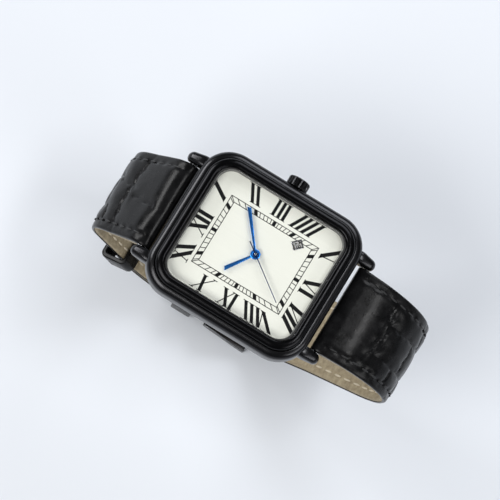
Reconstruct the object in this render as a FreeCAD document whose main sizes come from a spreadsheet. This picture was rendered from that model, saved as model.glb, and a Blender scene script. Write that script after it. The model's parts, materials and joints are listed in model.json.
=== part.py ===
import FreeCAD, Part
import math
import os
import Sketcher

# Square quartz wrist watch on a buckled leather strap.
# Frame: origin on the hand axis at the outer face of the case back, +Z out of the dial,
# +Y to twelve o'clock, +X to three o'clock, millimetres.

os.makedirs("parts", exist_ok=True)
doc = FreeCAD.newDocument("square_watch")
sheet = doc.addObject("Spreadsheet::Sheet", "size")

driving_sizes = {
    # middle case and lugs
    "case_width": 36.4, "case_length": 41.0, "case_corner": 7.5,
    "case_bottom": 0.3, "case_top": 7.2, "case_belly": 1.3, "case_shoulder": 1.6,
    "cavity_seat": 0.47, "cavity_corner": 4.2,
    "lug_gap": 22.0, "lug_thickness": 2.9, "lug_reach": 24.3, "lug_root": 16.0,
    "lug_top": 5.3, "lug_bottom": 0.7, "lug_tip_level": 3.3, "lug_bend": 21.0,
    "lug_tip_round": 1.2, "bar_reach": 22.9, "bar_level": 1.9, "bar_radius": 0.7,
    "bar_tip_radius": 0.4, "bar_tip_length": 0.8,
    # bezel, crystal, flange ring and dial
    "bezel_width": 32.9, "bezel_length": 37.5, "bezel_corner": 6.0, "bezel_height": 1.5,
    "bezel_round": 0.8, "bezel_lip": 0.7, "bezel_rim_side": 2.32, "bezel_rim_end": 2.55,
    "opening_corner": 3.8, "opening_slope": 0.45,
    "dial_level": 5.6, "dial_thickness": 0.4, "dial_gap": 0.1, "dial_hole": 0.95,
    "flange_height": 1.4, "flange_lean": 0.33,
    "window_reach": 9.72, "window_radial": 2.2, "window_tangential": 1.8,
    "crystal_proud": 0.05, "crystal_gap": 0.14, "crystal_chamfer": 0.15,
    "seal_height": 0.15,
    # case back
    "back_width": 32.2, "back_length": 36.8, "back_corner": 5.0, "back_thickness": 1.0,
    "back_gap": 0.1, "back_edge": 0.3, "back_seal_width": 0.5, "back_seal_height": 0.35,
    "screw_wall_side": 0.5, "screw_wall_end": 0.47, "screw_radius": 0.4, "screw_head": 0.75,
    "screw_sink": 0.45, "screw_length": 2.2, "screw_slot": 0.2,
    # crown and stem
    "stem_level": 3.95, "stem_radius": 0.45, "stem_inner_end": 5.2, "stem_gap": 0.05,
    "tube_radius": 1.0, "tube_proud": 0.7, "crown_radius": 2.55, "crown_length": 2.35,
    "crown_gap": 0.12, "crown_bore": 1.25, "crown_bore_depth": 1.15, "crown_flutes": 18,
    "crown_flute_depth": 0.3, "crown_dome": 0.5, "groove_place": 8.4, "groove_width": 0.75,
    "groove_radius": 0.25,
    # movement
    "plate_radius": 11.65, "plate_bottom": 3.2, "plate_floor": 4.7, "plate_gap": 0.1,
    "date_seat": 5.12, "rim_inner": 11.3, "date_outer": 11.2, "date_inner": 9.05,
    "date_tooth": 0.45, "date_thickness": 0.15, "date_teeth": 31,
    "holder_lip": 11.2, "holder_gap": 0.15, "bridge_bottom": 1.5, "bridge_top": 1.8,
    "pillar_radius": 0.6, "pillar_screw": 0.3, "battery_radius": 3.4, "battery_height": 2.4,
    "battery_x": -6.7, "battery_y": -3.6, "battery_gap": 0.1, "clamp_thickness": 0.15,
    "arbor_radius": 0.15, "arbor_gap": 0.03, "tube_bore": 0.2, "tube_outer": 0.42,
    "pipe_gap": 0.05, "pipe_outer": 0.75, "gear_thickness": 0.2,
    "train_module": 0.13, "low_module": 0.16, "motion_module": 0.11, "rotor_module": 0.12, "mesh_gap": 0.02,
    "low_gear_level": 1.95, "mid_gear_level": 2.4, "high_gear_level": 2.85,
    "minute_gear_level": 4.78, "hour_gear_level": 4.97, "thin_gear": 0.13,
    # hands
    "hour_hand_level": 6.35, "minute_hand_level": 6.65, "second_hand_level": 6.95,
    "hand_thickness": 0.15, "hour_hand_length": 8.5, "minute_hand_length": 11.5,
    "second_hand_length": 12.0, "second_hand_tail": 3.2, "hand_width": 0.85,
    "hand_waist": 0.46, "second_hand_width": 0.2, "hub_radius": 1.2, "cap_radius": 0.45,
    "hour_hand_angle": 304.3, "minute_hand_angle": 51.6, "second_hand_angle": 216.0,
    # strap
    "strap_lug_width": 21.7, "strap_bend_width": 19.8, "strap_buckle_width": 18.0,
    "strap_bend_at": 28.0, "strap_buckle_at": 62.0, "strap_lug_thickness": 4.8,
    "strap_thickness": 2.2, "strap_taper": 24.0, "skin_lug": 2.2, "skin_thin": 1.4,
    "skin_edge": 0.55, "lining_inset": 0.2, "strap_end": 21.5, "channel_gap": 0.05,
    "short_level": 4.35, "short_slope": 20.0, "short_start_run": 1.6, "short_knee": 8.0,
    "short_wall_slope": 55.0, "short_wall_run": 11.0, "short_side": 13.0,
    "short_return": 122.0, "short_return_run": 17.8, "heel_radius": 16.0,
    "short_flat_end": -0.6,
    "long_level": 4.6, "long_slope": 5.0, "long_start_run": 6.0, "long_side": 17.0,
    "long_return": 140.0, "tail_run": 9.0, "strap_gap": 0.15, "tail_tip": 6.0,
    "hole_radius": 0.85, "hole_pitch": 6.5, "hole_count": 7,
    "used_hole_length": 3.5,
    # buckle and keepers
    "pin_place": 0.6, "pin_radius": 0.6, "pin_gap": 0.06, "arm_gap": 0.35,
    "arm_thickness": 1.3, "front_bar_place": -8.5, "front_bar_width": 1.8,
    "bar_clearance": 0.1, "tongue_width": 1.7,
    "tongue_thickness": 0.85, "tongue_slot_gap": 0.25, "tongue_hole": -1.9,
    "keeper_width": 5.0, "keeper_thickness": 1.15, "keeper_gap": 0.25, "keeper_place": 8.0,
    "loose_keeper_place": 3.9, "loose_keeper_width": 4.6,
}
for row, (alias, value) in enumerate(driving_sizes.items(), 1):
    sheet.set("A%d" % row, alias.replace("_", " "))
    sheet.set("B%d" % row, str(value))
    sheet.setAlias("B%d" % row, alias)

# Sizes worked out from the driving ones, kept as formulas in the same sheet
followers = {
    "opening_width": "bezel_width - 2 * bezel_rim_side",
    "opening_length": "bezel_length - 2 * bezel_rim_end",
    "cavity_width": "opening_width + 2 * cavity_seat",
    "cavity_length": "opening_length + 2 * cavity_seat",
    "screw_x": "cavity_width / 2 - screw_wall_side",
    "screw_y": "cavity_length / 2 - screw_wall_end",
    "flange_foot_width": "opening_width - 2 * flange_lean",
    "flange_foot_length": "opening_length - 2 * flange_lean",
}
for row, (alias, formula) in enumerate(followers.items(), len(driving_sizes) + 2):
    sheet.set("A%d" % row, alias.replace("_", " "))
    sheet.set("B%d" % row, "=" + formula)
    sheet.setAlias("B%d" % row, alias)
doc.recompute()

sub_parts = {}


def measure(expression):
    """Value of an expression of the sheet's cells."""
    return float(sheet.evalExpression(expression))


def keep(name, shape_object):
    """Register a finished sub-part under its own label."""
    shape_object.Label = name
    sub_parts[name] = shape_object
    return shape_object


def vector(x, y, z=0.0):
    return FreeCAD.Vector(x, y, z)


# Helpers for PartDesign bodies

def new_body(name):
    body = doc.addObject("PartDesign::Body", "Body_" + name)
    return keep(name, body)


def origin_plane(body, role):
    return [item for item in body.Origin.OriginFeatures if item.Role == role][0]


def new_sketch(body, name, plane="XY_Plane", level="0"):
    sketch = body.newObject("Sketcher::SketchObject", name)
    sketch.AttachmentSupport = [(origin_plane(body, plane), "")]
    sketch.MapMode = "FlatFace"
    sketch.setExpression("AttachmentOffset.Base.z", level)
    return sketch


def constrain(sketch, name, expression, kind, *where):
    index = sketch.addConstraint(Sketcher.Constraint(kind, *where, measure(expression)))
    sketch.renameConstraint(index, name)
    sketch.setExpression("Constraints." + name, expression)


def rounded_rectangle(sketch, width, length, corner):
    """Rounded rectangle centred on the sketch's origin, bound to three expressions."""
    half_w, half_l = measure(width) / 2, measure(length) / 2
    radius = measure(corner)
    in_w, in_l = half_w - radius, half_l - radius
    normal = vector(0, 0, 1)
    corners = [(in_w, -in_l, -90), (in_w, in_l, 0), (-in_w, in_l, 90), (-in_w, -in_l, 180)]
    sides = [((-in_w, -half_l), (in_w, -half_l)), ((half_w, -in_l), (half_w, in_l)),
             ((in_w, half_l), (-in_w, half_l)), ((-half_w, in_l), (-half_w, -in_l))]
    first = sketch.GeometryCount
    for (start, end), (x, y, angle) in zip(sides, corners):
        sketch.addGeometry(Part.LineSegment(vector(*start), vector(*end)))
        circle = Part.Circle(vector(x, y), normal, radius)
        turn = math.radians(angle)
        sketch.addGeometry(Part.ArcOfCircle(circle, turn, turn + math.pi / 2))
    for index in range(8):
        following = (index + 1) % 8
        sketch.addConstraint(
            Sketcher.Constraint("Tangent", first + index, 2, first + following, 1))
    for arc in (3, 5, 7):
        sketch.addConstraint(Sketcher.Constraint("Equal", first + 1, first + arc))
    for line, kind in ((0, "Horizontal"), (2, "Vertical"), (4, "Horizontal"), (6, "Vertical")):
        sketch.addConstraint(Sketcher.Constraint(kind, first + line))
    tag = "n%d_" % first
    constrain(sketch, tag + "right", "(%s) / 2" % width, "DistanceX", -1, 1, first + 2, 1)
    constrain(sketch, tag + "left", "(%s) / 2" % width, "DistanceX", first + 6, 1, -1, 1)
    constrain(sketch, tag + "top", "(%s) / 2" % length, "DistanceY", -1, 1, first + 4, 1)
    constrain(sketch, tag + "bottom", "(%s) / 2" % length, "DistanceY", first, 1, -1, 1)
    constrain(sketch, tag + "corner", corner, "Radius", first + 1)


def place_point(sketch, name, geometry, point, x, y):
    """Hold a sketch point at two expressions, measured from the origin."""
    for axis, kind, expression in (("x", "DistanceX", x), ("y", "DistanceY", y)):
        if abs(measure(expression)) < 1e-9:
            other = -2 if axis == "x" else -1
            sketch.addConstraint(Sketcher.Constraint("PointOnObject", geometry, point, other))
        else:
            constrain(sketch, name + axis, expression, kind, -1, 1, geometry, point)


def polygon(sketch, corners):
    """Closed polygon whose corners are pairs of expressions."""
    first = sketch.GeometryCount
    points = [vector(measure(x), measure(y)) for x, y in corners]
    count = len(points)
    for index in range(count):
        end = points[(index + 1) % count]
        sketch.addGeometry(Part.LineSegment(points[index], end))
    for index in range(count):
        following = (index + 1) % count
        sketch.addConstraint(
            Sketcher.Constraint("Coincident", first + index, 2, first + following, 1))
    for index, (x, y) in enumerate(corners):
        place_point(sketch, "n%d_%d_" % (first, index), first + index, 1, x, y)


def circle(sketch, radius, x="0", y="0"):
    index = sketch.addGeometry(
        Part.Circle(vector(measure(x), measure(y)), vector(0, 0, 1), measure(radius)))
    constrain(sketch, "radius%d" % index, radius, "Radius", index)
    place_point(sketch, "centre%d_" % index, index, 3, x, y)


def facet_circle(sketch, radius, x="0", y="0", sides=8):
    """Small round hole or post drawn as a regular polygon bound to the same expressions."""
    corners = []
    for index in range(sides):
        turn = math.pi * (2 * index + 1) / sides
        corners.append(("%s + %.6f * (%s)" % (x, math.cos(turn), radius),
                        "%s + %.6f * (%s)" % (y, math.sin(turn), radius)))
    polygon(sketch, corners)


def extrude(body, kind, name, sketch, length, backwards=False):
    """Pad or Pocket of a sketch, checked by the volume that it adds or takes."""
    before = body.Shape.Volume if body.Tip and body.Tip.isDerivedFrom("PartDesign::Feature") \
        and not body.Shape.isNull() else 0.0
    feature = body.newObject("PartDesign::" + kind, name)
    feature.Profile = sketch
    feature.setExpression("Length", length)
    feature.Reversed = backwards
    doc.recompute()
    change = body.Shape.Volume - before
    if (kind == "Pad") != (change > 1e-6):
        raise RuntimeError("%s on %s changed the volume by %g" % (name, body.Label, change))
    sketch.Visibility = False
    return feature


def pad(body, name, sketch, length, backwards=False):
    return extrude(body, "Pad", name, sketch, length, backwards)


def pocket(body, name, sketch, length, backwards=True):
    return extrude(body, "Pocket", name, sketch, length, backwards)


def edges_where(shape, test):
    return ["Edge%d" % (i + 1) for i, edge in enumerate(shape.Edges) if test(edge)]


def dress(body, kind, name, size, test):
    """Fillet or Chamfer on the edges that pass a test."""
    base = body.Tip
    names = edges_where(base.Shape, test)
    if not names:
        raise RuntimeError("no edges for %s on %s" % (name, body.Label))
    feature = body.newObject("PartDesign::" + kind, name)
    feature.Base = (base, names)
    feature.setExpression("Radius" if kind == "Fillet" else "Size", size)
    doc.recompute()
    return feature


def at_level(level, inside=None, outside=None):
    """Test for edges that lie at one height, by their reach from the Z axis."""
    def test(edge):
        box = edge.BoundBox
        flat = abs(box.ZMin - level) < 1e-4 and abs(box.ZMax - level) < 1e-4
        middle = edge.CenterOfMass
        reach = max(abs(middle.x), abs(middle.y))
        near = outside is None or reach > outside
        far = inside is None or reach < inside
        return flat and near and far
    return test


def revolve(body, kind, name, corners, plane="XZ_Plane", axis="V_Axis"):
    sketch = new_sketch(body, name + "Profile", plane)
    polygon(sketch, corners)
    feature = body.newObject("PartDesign::" + kind, name)
    feature.Profile = sketch
    feature.ReferenceAxis = (sketch, [axis])
    feature.Angle = 360
    doc.recompute()
    sketch.Visibility = False
    return feature


# Helpers for Part primitives and shapes

def cylinder(name, radius, height, x="0", y="0", z="0"):
    item = doc.addObject("Part::Cylinder", name)
    item.setExpression("Radius", radius)
    item.setExpression("Height", height)
    item.setExpression("Placement.Base.x", x)
    item.setExpression("Placement.Base.y", y)
    item.setExpression("Placement.Base.z", z)
    return item


def prism(name, sides, radius, height, x="0", y="0", z="0"):
    """Upright regular prism with a flat turned to the X axis."""
    item = doc.addObject("Part::Prism", name)
    item.Polygon = sides
    item.setExpression("Circumradius", radius)
    item.setExpression("Height", height)
    item.Placement = FreeCAD.Placement(vector(0, 0, 0), FreeCAD.Rotation(vector(0, 0, 1), 180.0 / sides))
    item.setExpression("Placement.Base.x", x)
    item.setExpression("Placement.Base.y", y)
    item.setExpression("Placement.Base.z", z)
    return item


def block(name, length, width, height, x="0", y="0", z="0"):
    """Box whose middle lies at x and y, and whose bottom lies at z."""
    item = doc.addObject("Part::Box", name)
    item.setExpression("Length", length)
    item.setExpression("Width", width)
    item.setExpression("Height", height)
    item.setExpression("Placement.Base.x", "%s - (%s) / 2" % (x, length))
    item.setExpression("Placement.Base.y", "%s - (%s) / 2" % (y, width))
    item.setExpression("Placement.Base.z", z)
    return item


def fuse(name, *items):
    item = doc.addObject("Part::MultiFuse", name)
    item.Shapes = list(items)
    item.Refine = True
    return item


def cut(name, base, *tools):
    tool = tools[0] if len(tools) == 1 else fuse(name + "Tools", *tools)
    item = doc.addObject("Part::Cut", name)
    item.Base = base
    item.Tool = tool
    return item


def free_shape(name, shape):
    item = doc.addObject("Part::Feature", "Shape_" + name)
    item.Shape = shape
    return keep(name, item)


def rod(radius, length, start, direction):
    return Part.makeCylinder(radius, length, start, direction)


def facet_points(radius, sides, x=0.0, y=0.0):
    """Corners of a regular polygon round a point."""
    step = 2 * math.pi / sides
    return [vector(x + radius * math.cos(step * (index + 0.5)), y + radius * math.sin(step * (index + 0.5)))
            for index in range(sides)]


def small_rod(radius, length, start, direction, sides=8):
    """Thin pin or bore as a prism, with its corners on the radius."""
    points = facet_points(radius, sides)
    shape = Part.Face(Part.makePolygon(points + points[:1])).extrude(vector(0, 0, length))
    shape.Placement = FreeCAD.Placement(start, FreeCAD.Rotation(vector(0, 0, 1), direction))
    return shape


# Middle case: rounded block with four lugs, hollow for the movement, stepped for the back
case = new_body("case_middle")
outline = new_sketch(case, "CaseOutline", level="size.case_bottom")
rounded_rectangle(outline, "size.case_width", "size.case_length", "size.case_corner")
pad(case, "CaseBlock", outline, "size.case_top - size.case_bottom")
dress(case, "Chamfer", "Belly", "size.case_belly", at_level(sheet.case_bottom))
dress(case, "Chamfer", "Shoulder", "size.case_shoulder", at_level(sheet.case_top))
for side in (-1, 1):
    for end in (-1, 1):
        tag = "Lug%s%s" % ("Left" if side < 0 else "Right", "Low" if end < 0 else "High")
        start = "size.lug_gap / 2" if side > 0 else "-size.lug_gap / 2 - size.lug_thickness"
        lug = new_sketch(case, tag + "Outline", "YZ_Plane", start)
        corners = [("lug_root", "lug_top"), ("lug_bend", "lug_top"), ("lug_reach", "lug_tip_level"),
                   ("lug_reach", "lug_bottom"), ("lug_root", "lug_bottom")]
        polygon(lug, [("%d * size.%s" % (end, y), "size." + z) for y, z in corners])
        pad(case, tag, lug, "size.lug_thickness")


def lug_edge(y, z):
    def test(edge):
        box, middle = edge.BoundBox, edge.CenterOfMass
        across = abs(box.XLength - sheet.lug_thickness) < 1e-3 and box.YLength < 1e-3
        return across and abs(abs(middle.y) - y) < 1e-3 and abs(middle.z - z) < 1e-3
    return test


dress(case, "Fillet", "LugTips", "size.lug_tip_round", lug_edge(sheet.lug_reach, sheet.lug_tip_level))
dress(case, "Fillet", "LugToes", "size.lug_tip_round * 0.9", lug_edge(sheet.lug_reach, sheet.lug_bottom))
dress(case, "Fillet", "LugBends", "size.lug_tip_round * 3", lug_edge(sheet.lug_bend, sheet.lug_top))

recess = new_sketch(case, "BackRecess", level="size.case_bottom")
rounded_rectangle(recess, "size.back_width + 2 * size.back_gap",
                  "size.back_length + 2 * size.back_gap", "size.back_corner + size.back_gap")
pocket(case, "BackSeat", recess, "size.back_thickness - size.case_bottom")
seal = new_sketch(case, "SealGroove", level="size.back_thickness")
rounded_rectangle(seal, "size.cavity_width + 2 * size.back_seal_width",
                  "size.cavity_length + 2 * size.back_seal_width",
                  "size.cavity_corner + size.back_seal_width")
pocket(case, "SealSeat", seal, "size.back_seal_height")
cavity = new_sketch(case, "Cavity", level="size.back_thickness")
rounded_rectangle(cavity, "size.cavity_width", "size.cavity_length", "size.cavity_corner")
pocket(case, "CavityCut", cavity, "size.case_top - size.back_thickness")
screw_holes = new_sketch(case, "BackScrewHoles", level="size.back_thickness")
for side in (-1, 1):
    for end in (-1, 1):
        facet_circle(screw_holes, "size.screw_radius + 0.02", "%d * size.screw_x" % side, "%d * size.screw_y" % end)
pocket(case, "BackScrewBores", screw_holes, "size.screw_length")
bar_holes = new_sketch(case, "BarHoles", "YZ_Plane", "-size.lug_gap / 2 - size.bar_tip_length")
for end in (-1, 1):
    facet_circle(bar_holes, "size.bar_tip_radius", "%d * size.bar_reach" % end, "size.bar_level")
pocket(case, "BarBores", bar_holes, "size.lug_gap + 2 * size.bar_tip_length")
tube_hole = new_sketch(case, "TubeHole", "YZ_Plane", "size.cavity_width / 2 - 1")
circle(tube_hole, "size.tube_radius", "0", "size.stem_level")
pocket(case, "TubeBore", tube_hole, "size.case_width / 2")

# Bezel: frame with a sloping inner lip over the crystal's skirt
bezel = new_body("bezel")
outline = new_sketch(bezel, "BezelOutline", level="size.case_top")
rounded_rectangle(outline, "size.bezel_width", "size.bezel_length", "size.bezel_corner")
pad(bezel, "BezelBlock", outline, "size.bezel_height")
dress(bezel, "Chamfer", "BezelRound", "size.bezel_round", at_level(sheet.case_top + sheet.bezel_height))
opening = new_sketch(bezel, "BezelOpening", level="size.case_top")
rounded_rectangle(opening, "size.opening_width", "size.opening_length", "size.opening_corner")
pocket(bezel, "Opening", opening, "size.bezel_height")
dress(bezel, "Chamfer", "OpeningSlope", "size.opening_slope",
      at_level(sheet.case_top + sheet.bezel_height, inside=sheet.opening_length / 2 + 0.1))
skirt = new_sketch(bezel, "SkirtSeat", level="size.case_top")
rounded_rectangle(skirt, "size.cavity_width", "size.cavity_length", "size.cavity_corner")
pocket(bezel, "SkirtRecess", skirt, "size.bezel_height - size.bezel_lip")

# Crystal: flat glass with a thin skirt that the bezel holds down, on a seal
crystal = new_body("crystal")
foot = new_sketch(crystal, "SkirtOutline", level="size.dial_level + size.dial_thickness + size.flange_height")
rounded_rectangle(foot, "size.cavity_width - 2 * size.crystal_gap",
                  "size.cavity_length - 2 * size.crystal_gap", "size.cavity_corner - size.crystal_gap")
pad(crystal, "Skirt", foot,
    "size.case_top + size.bezel_height - size.bezel_lip - size.seal_height"
    " - (size.dial_level + size.dial_thickness + size.flange_height)")
window = new_sketch(crystal, "GlassOutline", level="size.dial_level + size.dial_thickness + size.flange_height")
rounded_rectangle(window, "size.opening_width - 2 * size.crystal_gap",
                  "size.opening_length - 2 * size.crystal_gap", "size.opening_corner - size.crystal_gap")
glass_height = ("size.case_top + size.bezel_height - size.crystal_proud"
                " - (size.dial_level + size.dial_thickness + size.flange_height)")
pad(crystal, "Glass", window, glass_height)
dress(crystal, "Chamfer", "GlassEdge", "size.crystal_chamfer",
      at_level(sheet.case_top + sheet.bezel_height - sheet.crystal_proud))


def frame_ring(name, level, height, outer, inner):
    """Flat ring between two rounded rectangles, each given by three expressions."""
    body = new_body(name)
    sketch = new_sketch(body, "RingOutline_" + name, level=level)
    rounded_rectangle(sketch, *outer)
    rounded_rectangle(sketch, *inner)
    pad(body, "Ring_" + name, sketch, height)
    return body


frame_ring("crystal_gasket", "size.case_top + size.bezel_height - size.bezel_lip - size.seal_height",
           "size.seal_height",
           ("size.cavity_width - 0.04", "size.cavity_length - 0.04", "size.cavity_corner - 0.02"),
           ("size.opening_width - 0.08", "size.opening_length - 0.08", "size.opening_corner - 0.04"))
frame_ring("case_back_gasket", "size.back_thickness", "size.back_seal_height",
           ("size.cavity_width + 2 * size.back_seal_width",
            "size.cavity_length + 2 * size.back_seal_width", "size.cavity_corner + size.back_seal_width"),
           ("size.cavity_width + 0.1", "size.cavity_length + 0.1", "size.cavity_corner + 0.05"))

# Flange ring between dial and crystal: its inner wall leans outwards towards the glass
flange = new_body("flange_ring")
flange_foot = "size.dial_level + size.dial_thickness"
ring = new_sketch(flange, "FlangeOutline", level=flange_foot)
rounded_rectangle(ring, "size.cavity_width - 2 * size.dial_gap",
                  "size.cavity_length - 2 * size.dial_gap", "size.cavity_corner - size.dial_gap")
pad(flange, "FlangeBlock", ring, "size.flange_height")
low = new_sketch(flange, "FlangeFootOpening", level=flange_foot)
rounded_rectangle(low, "size.flange_foot_width", "size.flange_foot_length", "size.opening_corner - 0.3")
high = new_sketch(flange, "FlangeTopOpening", level=flange_foot + " + size.flange_height")
rounded_rectangle(high, "size.opening_width - 2 * size.crystal_gap",
                  "size.opening_length - 2 * size.crystal_gap", "size.opening_corner")
slope = flange.newObject("PartDesign::SubtractiveLoft", "FlangeSlope")
slope.Profile = low
slope.Sections = [high]
slope.Ruled = True
doc.recompute()

# Dial with its centre hole, date window at half past four and two feet
dial = new_body("dial")
outline = new_sketch(dial, "DialOutline", level="size.dial_level")
rounded_rectangle(outline, "size.cavity_width - 2 * size.dial_gap",
                  "size.cavity_length - 2 * size.dial_gap", "size.cavity_corner - size.dial_gap")
circle(outline, "size.dial_hole")
diagonal = "0.70710678"
window_corners = []
for radial, tangential in ((-1, -1), (1, -1), (1, 1), (-1, 1)):
    reach = "(size.window_reach + %d * size.window_radial / 2)" % radial
    sideways = "%d * size.window_tangential / 2" % tangential
    window_corners.append(("%s * (%s + %s)" % (diagonal, reach, sideways),
                           "-%s * (%s - %s)" % (diagonal, reach, sideways)))
polygon(outline, window_corners)
pad(dial, "DialPlate", outline, "size.dial_thickness")
feet = new_sketch(dial, "DialFeet", level="size.dial_level")
for side in (-1, 1):
    facet_circle(feet, "size.screw_radius", "%d * size.screw_x * 0.8" % side, "%d * size.screw_y * -0.8" % side)
pad(dial, "Feet", feet, "1.2", backwards=True)

# Case back: flat plate in the recess, with four countersunk screws
back = new_body("case_back")
outline = new_sketch(back, "BackOutline")
rounded_rectangle(outline, "size.back_width", "size.back_length", "size.back_corner")
pad(back, "BackPlate", outline, "size.back_thickness")
dress(back, "Chamfer", "BackEdge", "size.back_edge * 0.6", at_level(0.0))
heads = new_sketch(back, "HeadSeats")
shanks = new_sketch(back, "ShankHoles")
for side in (-1, 1):
    for end in (-1, 1):
        spot = ("%d * size.screw_x" % side, "%d * size.screw_y" % end)
        facet_circle(heads, "size.screw_head", *spot, 12)
        facet_circle(shanks, "size.screw_radius + 0.02", *spot)
pocket(back, "HeadBores", heads, "size.screw_sink")
pocket(back, "ShankBores", shanks, "size.back_thickness")

screws = []
for side in (-1, 1):
    for end in (-1, 1):
        tag = "BackScrew%d" % (len(screws) + 1)
        spot = ("%d * size.screw_x" % side, "%d * size.screw_y" % end)
        head = prism(tag + "Head", 12, "size.screw_head - 0.03", "size.screw_sink - 0.1", *spot, "0.1")
        shank = prism(tag + "Shank", 8, "size.screw_radius - 0.02", "size.screw_length", *spot, "0.1")
        slot = block(tag + "Slot", "size.screw_slot", "3 * size.screw_head", "0.15", *spot, "0.1")
        screws.append(cut(tag, fuse(tag + "Solid", head, shank), slot))
back_screws = doc.addObject("Part::Compound", "BackScrews")
back_screws.Links = screws
keep("case_back_screws", back_screws)

# Crown group along the +X axis at the stem's level
wall = sheet.case_width / 2
axis_x = vector(1, 0, 0)


def stem_cylinder(radius, start, end):
    return small_rod(radius, end - start, vector(start, 0, sheet.stem_level), axis_x, 20)


tube_end = wall + sheet.tube_proud
tube_shape = stem_cylinder(sheet.tube_radius, sheet.cavity_width / 2, tube_end).cut(
    stem_cylinder(sheet.stem_radius + 1.3 * sheet.stem_gap, sheet.cavity_width / 2 - 1, tube_end + 1))
free_shape("crown_tube", tube_shape)

crown_start = wall + sheet.crown_gap
crown_end = crown_start + sheet.crown_length
crown_bore_end = crown_start + sheet.crown_bore_depth


def crown_outline():
    """Fluted crown section: arcs of a circle between rounded notches, as one polygon."""
    count = int(sheet.crown_flutes)
    points = []
    for index in range(count):
        for share, depth in ((0.0, 1.0), (0.28, 0.0), (0.72, 0.0)):
            turn = 2 * math.pi * (index + share) / count
            reach = sheet.crown_radius - depth * sheet.crown_flute_depth
            points.append(vector(crown_start, reach * math.cos(turn), sheet.stem_level + reach * math.sin(turn)))
    return Part.Face(Part.makePolygon(points + points[:1]))


crown_body = crown_outline().extrude(vector(sheet.crown_length, 0, 0))
dome_profile = Part.makePolygon([
    vector(crown_start, 0, sheet.stem_level),
    vector(crown_start, 0, sheet.stem_level + sheet.crown_radius),
    vector(crown_end - sheet.crown_dome, 0, sheet.stem_level + sheet.crown_radius),
    vector(crown_end, 0, sheet.stem_level + sheet.crown_radius - sheet.crown_dome),
    vector(crown_end, 0, sheet.stem_level),
    vector(crown_start, 0, sheet.stem_level)])
dome = Part.Face(dome_profile).revolve(vector(0, 0, sheet.stem_level), axis_x, 360)
crown_shape = crown_body.common(dome)
crown_shape = crown_shape.cut(stem_cylinder(sheet.crown_bore, crown_start - 1, crown_bore_end))
crown_shape = crown_shape.cut(stem_cylinder(sheet.stem_radius, crown_start, crown_bore_end + 0.5))
free_shape("crown", crown_shape)

seal_start = crown_start + 0.15
crown_seal = stem_cylinder(sheet.crown_bore, seal_start, seal_start + 0.3).cut(
    stem_cylinder(sheet.tube_radius + 0.03, seal_start - 1, seal_start + 1))
free_shape("crown_gasket", crown_seal)

stem = new_body("stem")
groove_start = "size.groove_place - size.groove_width / 2"
groove_end = "size.groove_place + size.groove_width / 2"
stem_profile = [("size.stem_inner_end", "0"), ("size.stem_inner_end", "size.stem_radius"),
                (groove_start, "size.stem_radius"), (groove_start, "size.groove_radius"),
                (groove_end, "size.groove_radius"), (groove_end, "size.stem_radius"),
                ("size.case_width / 2 + size.crown_gap + size.crown_bore_depth + 0.5", "size.stem_radius"),
                ("size.case_width / 2 + size.crown_gap + size.crown_bore_depth + 0.5", "0")]
revolve(stem, "Revolution", "StemTurned", stem_profile, "XZ_Plane", "H_Axis")
stem.setExpression("Placement.Base.z", "size.stem_level")

# Movement holder: frame that fills the case round the movement and carries the dial
holder = new_body("movement_holder")
outline = new_sketch(holder, "HolderOutline", level="size.back_thickness")
rounded_rectangle(outline, "size.cavity_width - 2 * size.holder_gap",
                  "size.cavity_length - 2 * size.holder_gap", "size.cavity_corner - size.holder_gap")
circle(outline, "size.holder_lip")
pad(holder, "HolderBlock", outline, "size.dial_level - size.back_thickness")
seat = new_sketch(holder, "MovementSeat", level="size.plate_bottom")
circle(seat, "size.plate_radius + size.plate_gap")
pocket(holder, "MovementRecess", seat, "size.dial_level - size.plate_bottom")
foot_holes = new_sketch(holder, "FootHoles", level="size.dial_level")
for side in (-1, 1):
    facet_circle(foot_holes, "size.screw_radius + 0.05", "%d * size.screw_x * 0.8" % side,
           "%d * size.screw_y * -0.8" % side)
pocket(holder, "FootBores", foot_holes, "1.3", backwards=False)
stem_way = new_sketch(holder, "StemWay", "YZ_Plane", "size.plate_radius - 2")
circle(stem_way, "size.stem_radius + 0.25", "0", "size.stem_level")
pocket(holder, "StemBore", stem_way, "size.cavity_width / 2")

# Gear train geometry
third_place = sheet.train_module * (6 + 45) / 2 + sheet.mesh_gap
middle_place = sheet.low_module * (6 + 36) / 2 + sheet.mesh_gap
rotor_place = middle_place + sheet.rotor_module * (6 + 30) / 2 + sheet.mesh_gap
minute_place = sheet.motion_module * (10 + 30) / 2 + sheet.mesh_gap
hour_module = 2 * minute_place / (6 + 24 + 0.25)
date_place = hour_module * (24 + 48) / 2 + sheet.mesh_gap
centre_module = 2 * third_place / (6 + 48 + 0.25)
third_turn, minute_turn, date_turn = -90.0, -40.0, 135.0


def polar(reach, degrees, z=0.0):
    turn = math.radians(degrees)
    return vector(reach * math.cos(turn), reach * math.sin(turn), z)


def gear(teeth, module, thickness, centre, tooth_at):
    """Toothed disc; one tooth points to the direction tooth_at, in degrees."""
    pitch = 360.0 / teeth
    root, tip = module * (teeth / 2 - 1.1), module * (teeth / 2 + 1.0)
    points = []
    for index in range(teeth):
        middle = tooth_at + index * pitch
        points.append(centre + polar(root, middle - 0.5 * pitch))
        points.append(centre + polar(tip, middle))
    return Part.Face(Part.makePolygon(points + points[:1])).extrude(vector(0, 0, thickness))


def mating_tooth(tooth_at, teeth, direction, mate_teeth):
    """Direction of a tooth of the mate, so that its gap meets the gear's tooth."""
    pitch = 360.0 / teeth
    ahead = (tooth_at - direction + pitch / 2) % pitch - pitch / 2
    return direction + 180.0 - ahead * teeth / mate_teeth + 180.0 / mate_teeth


def wheel(name, parts, bore=None):
    shape = parts[0].multiFuse(parts[1:]) if len(parts) > 1 else parts[0]
    if bore is not None:
        shape = shape.cut(bore)
    return free_shape(name, shape.removeSplitter())


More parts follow.
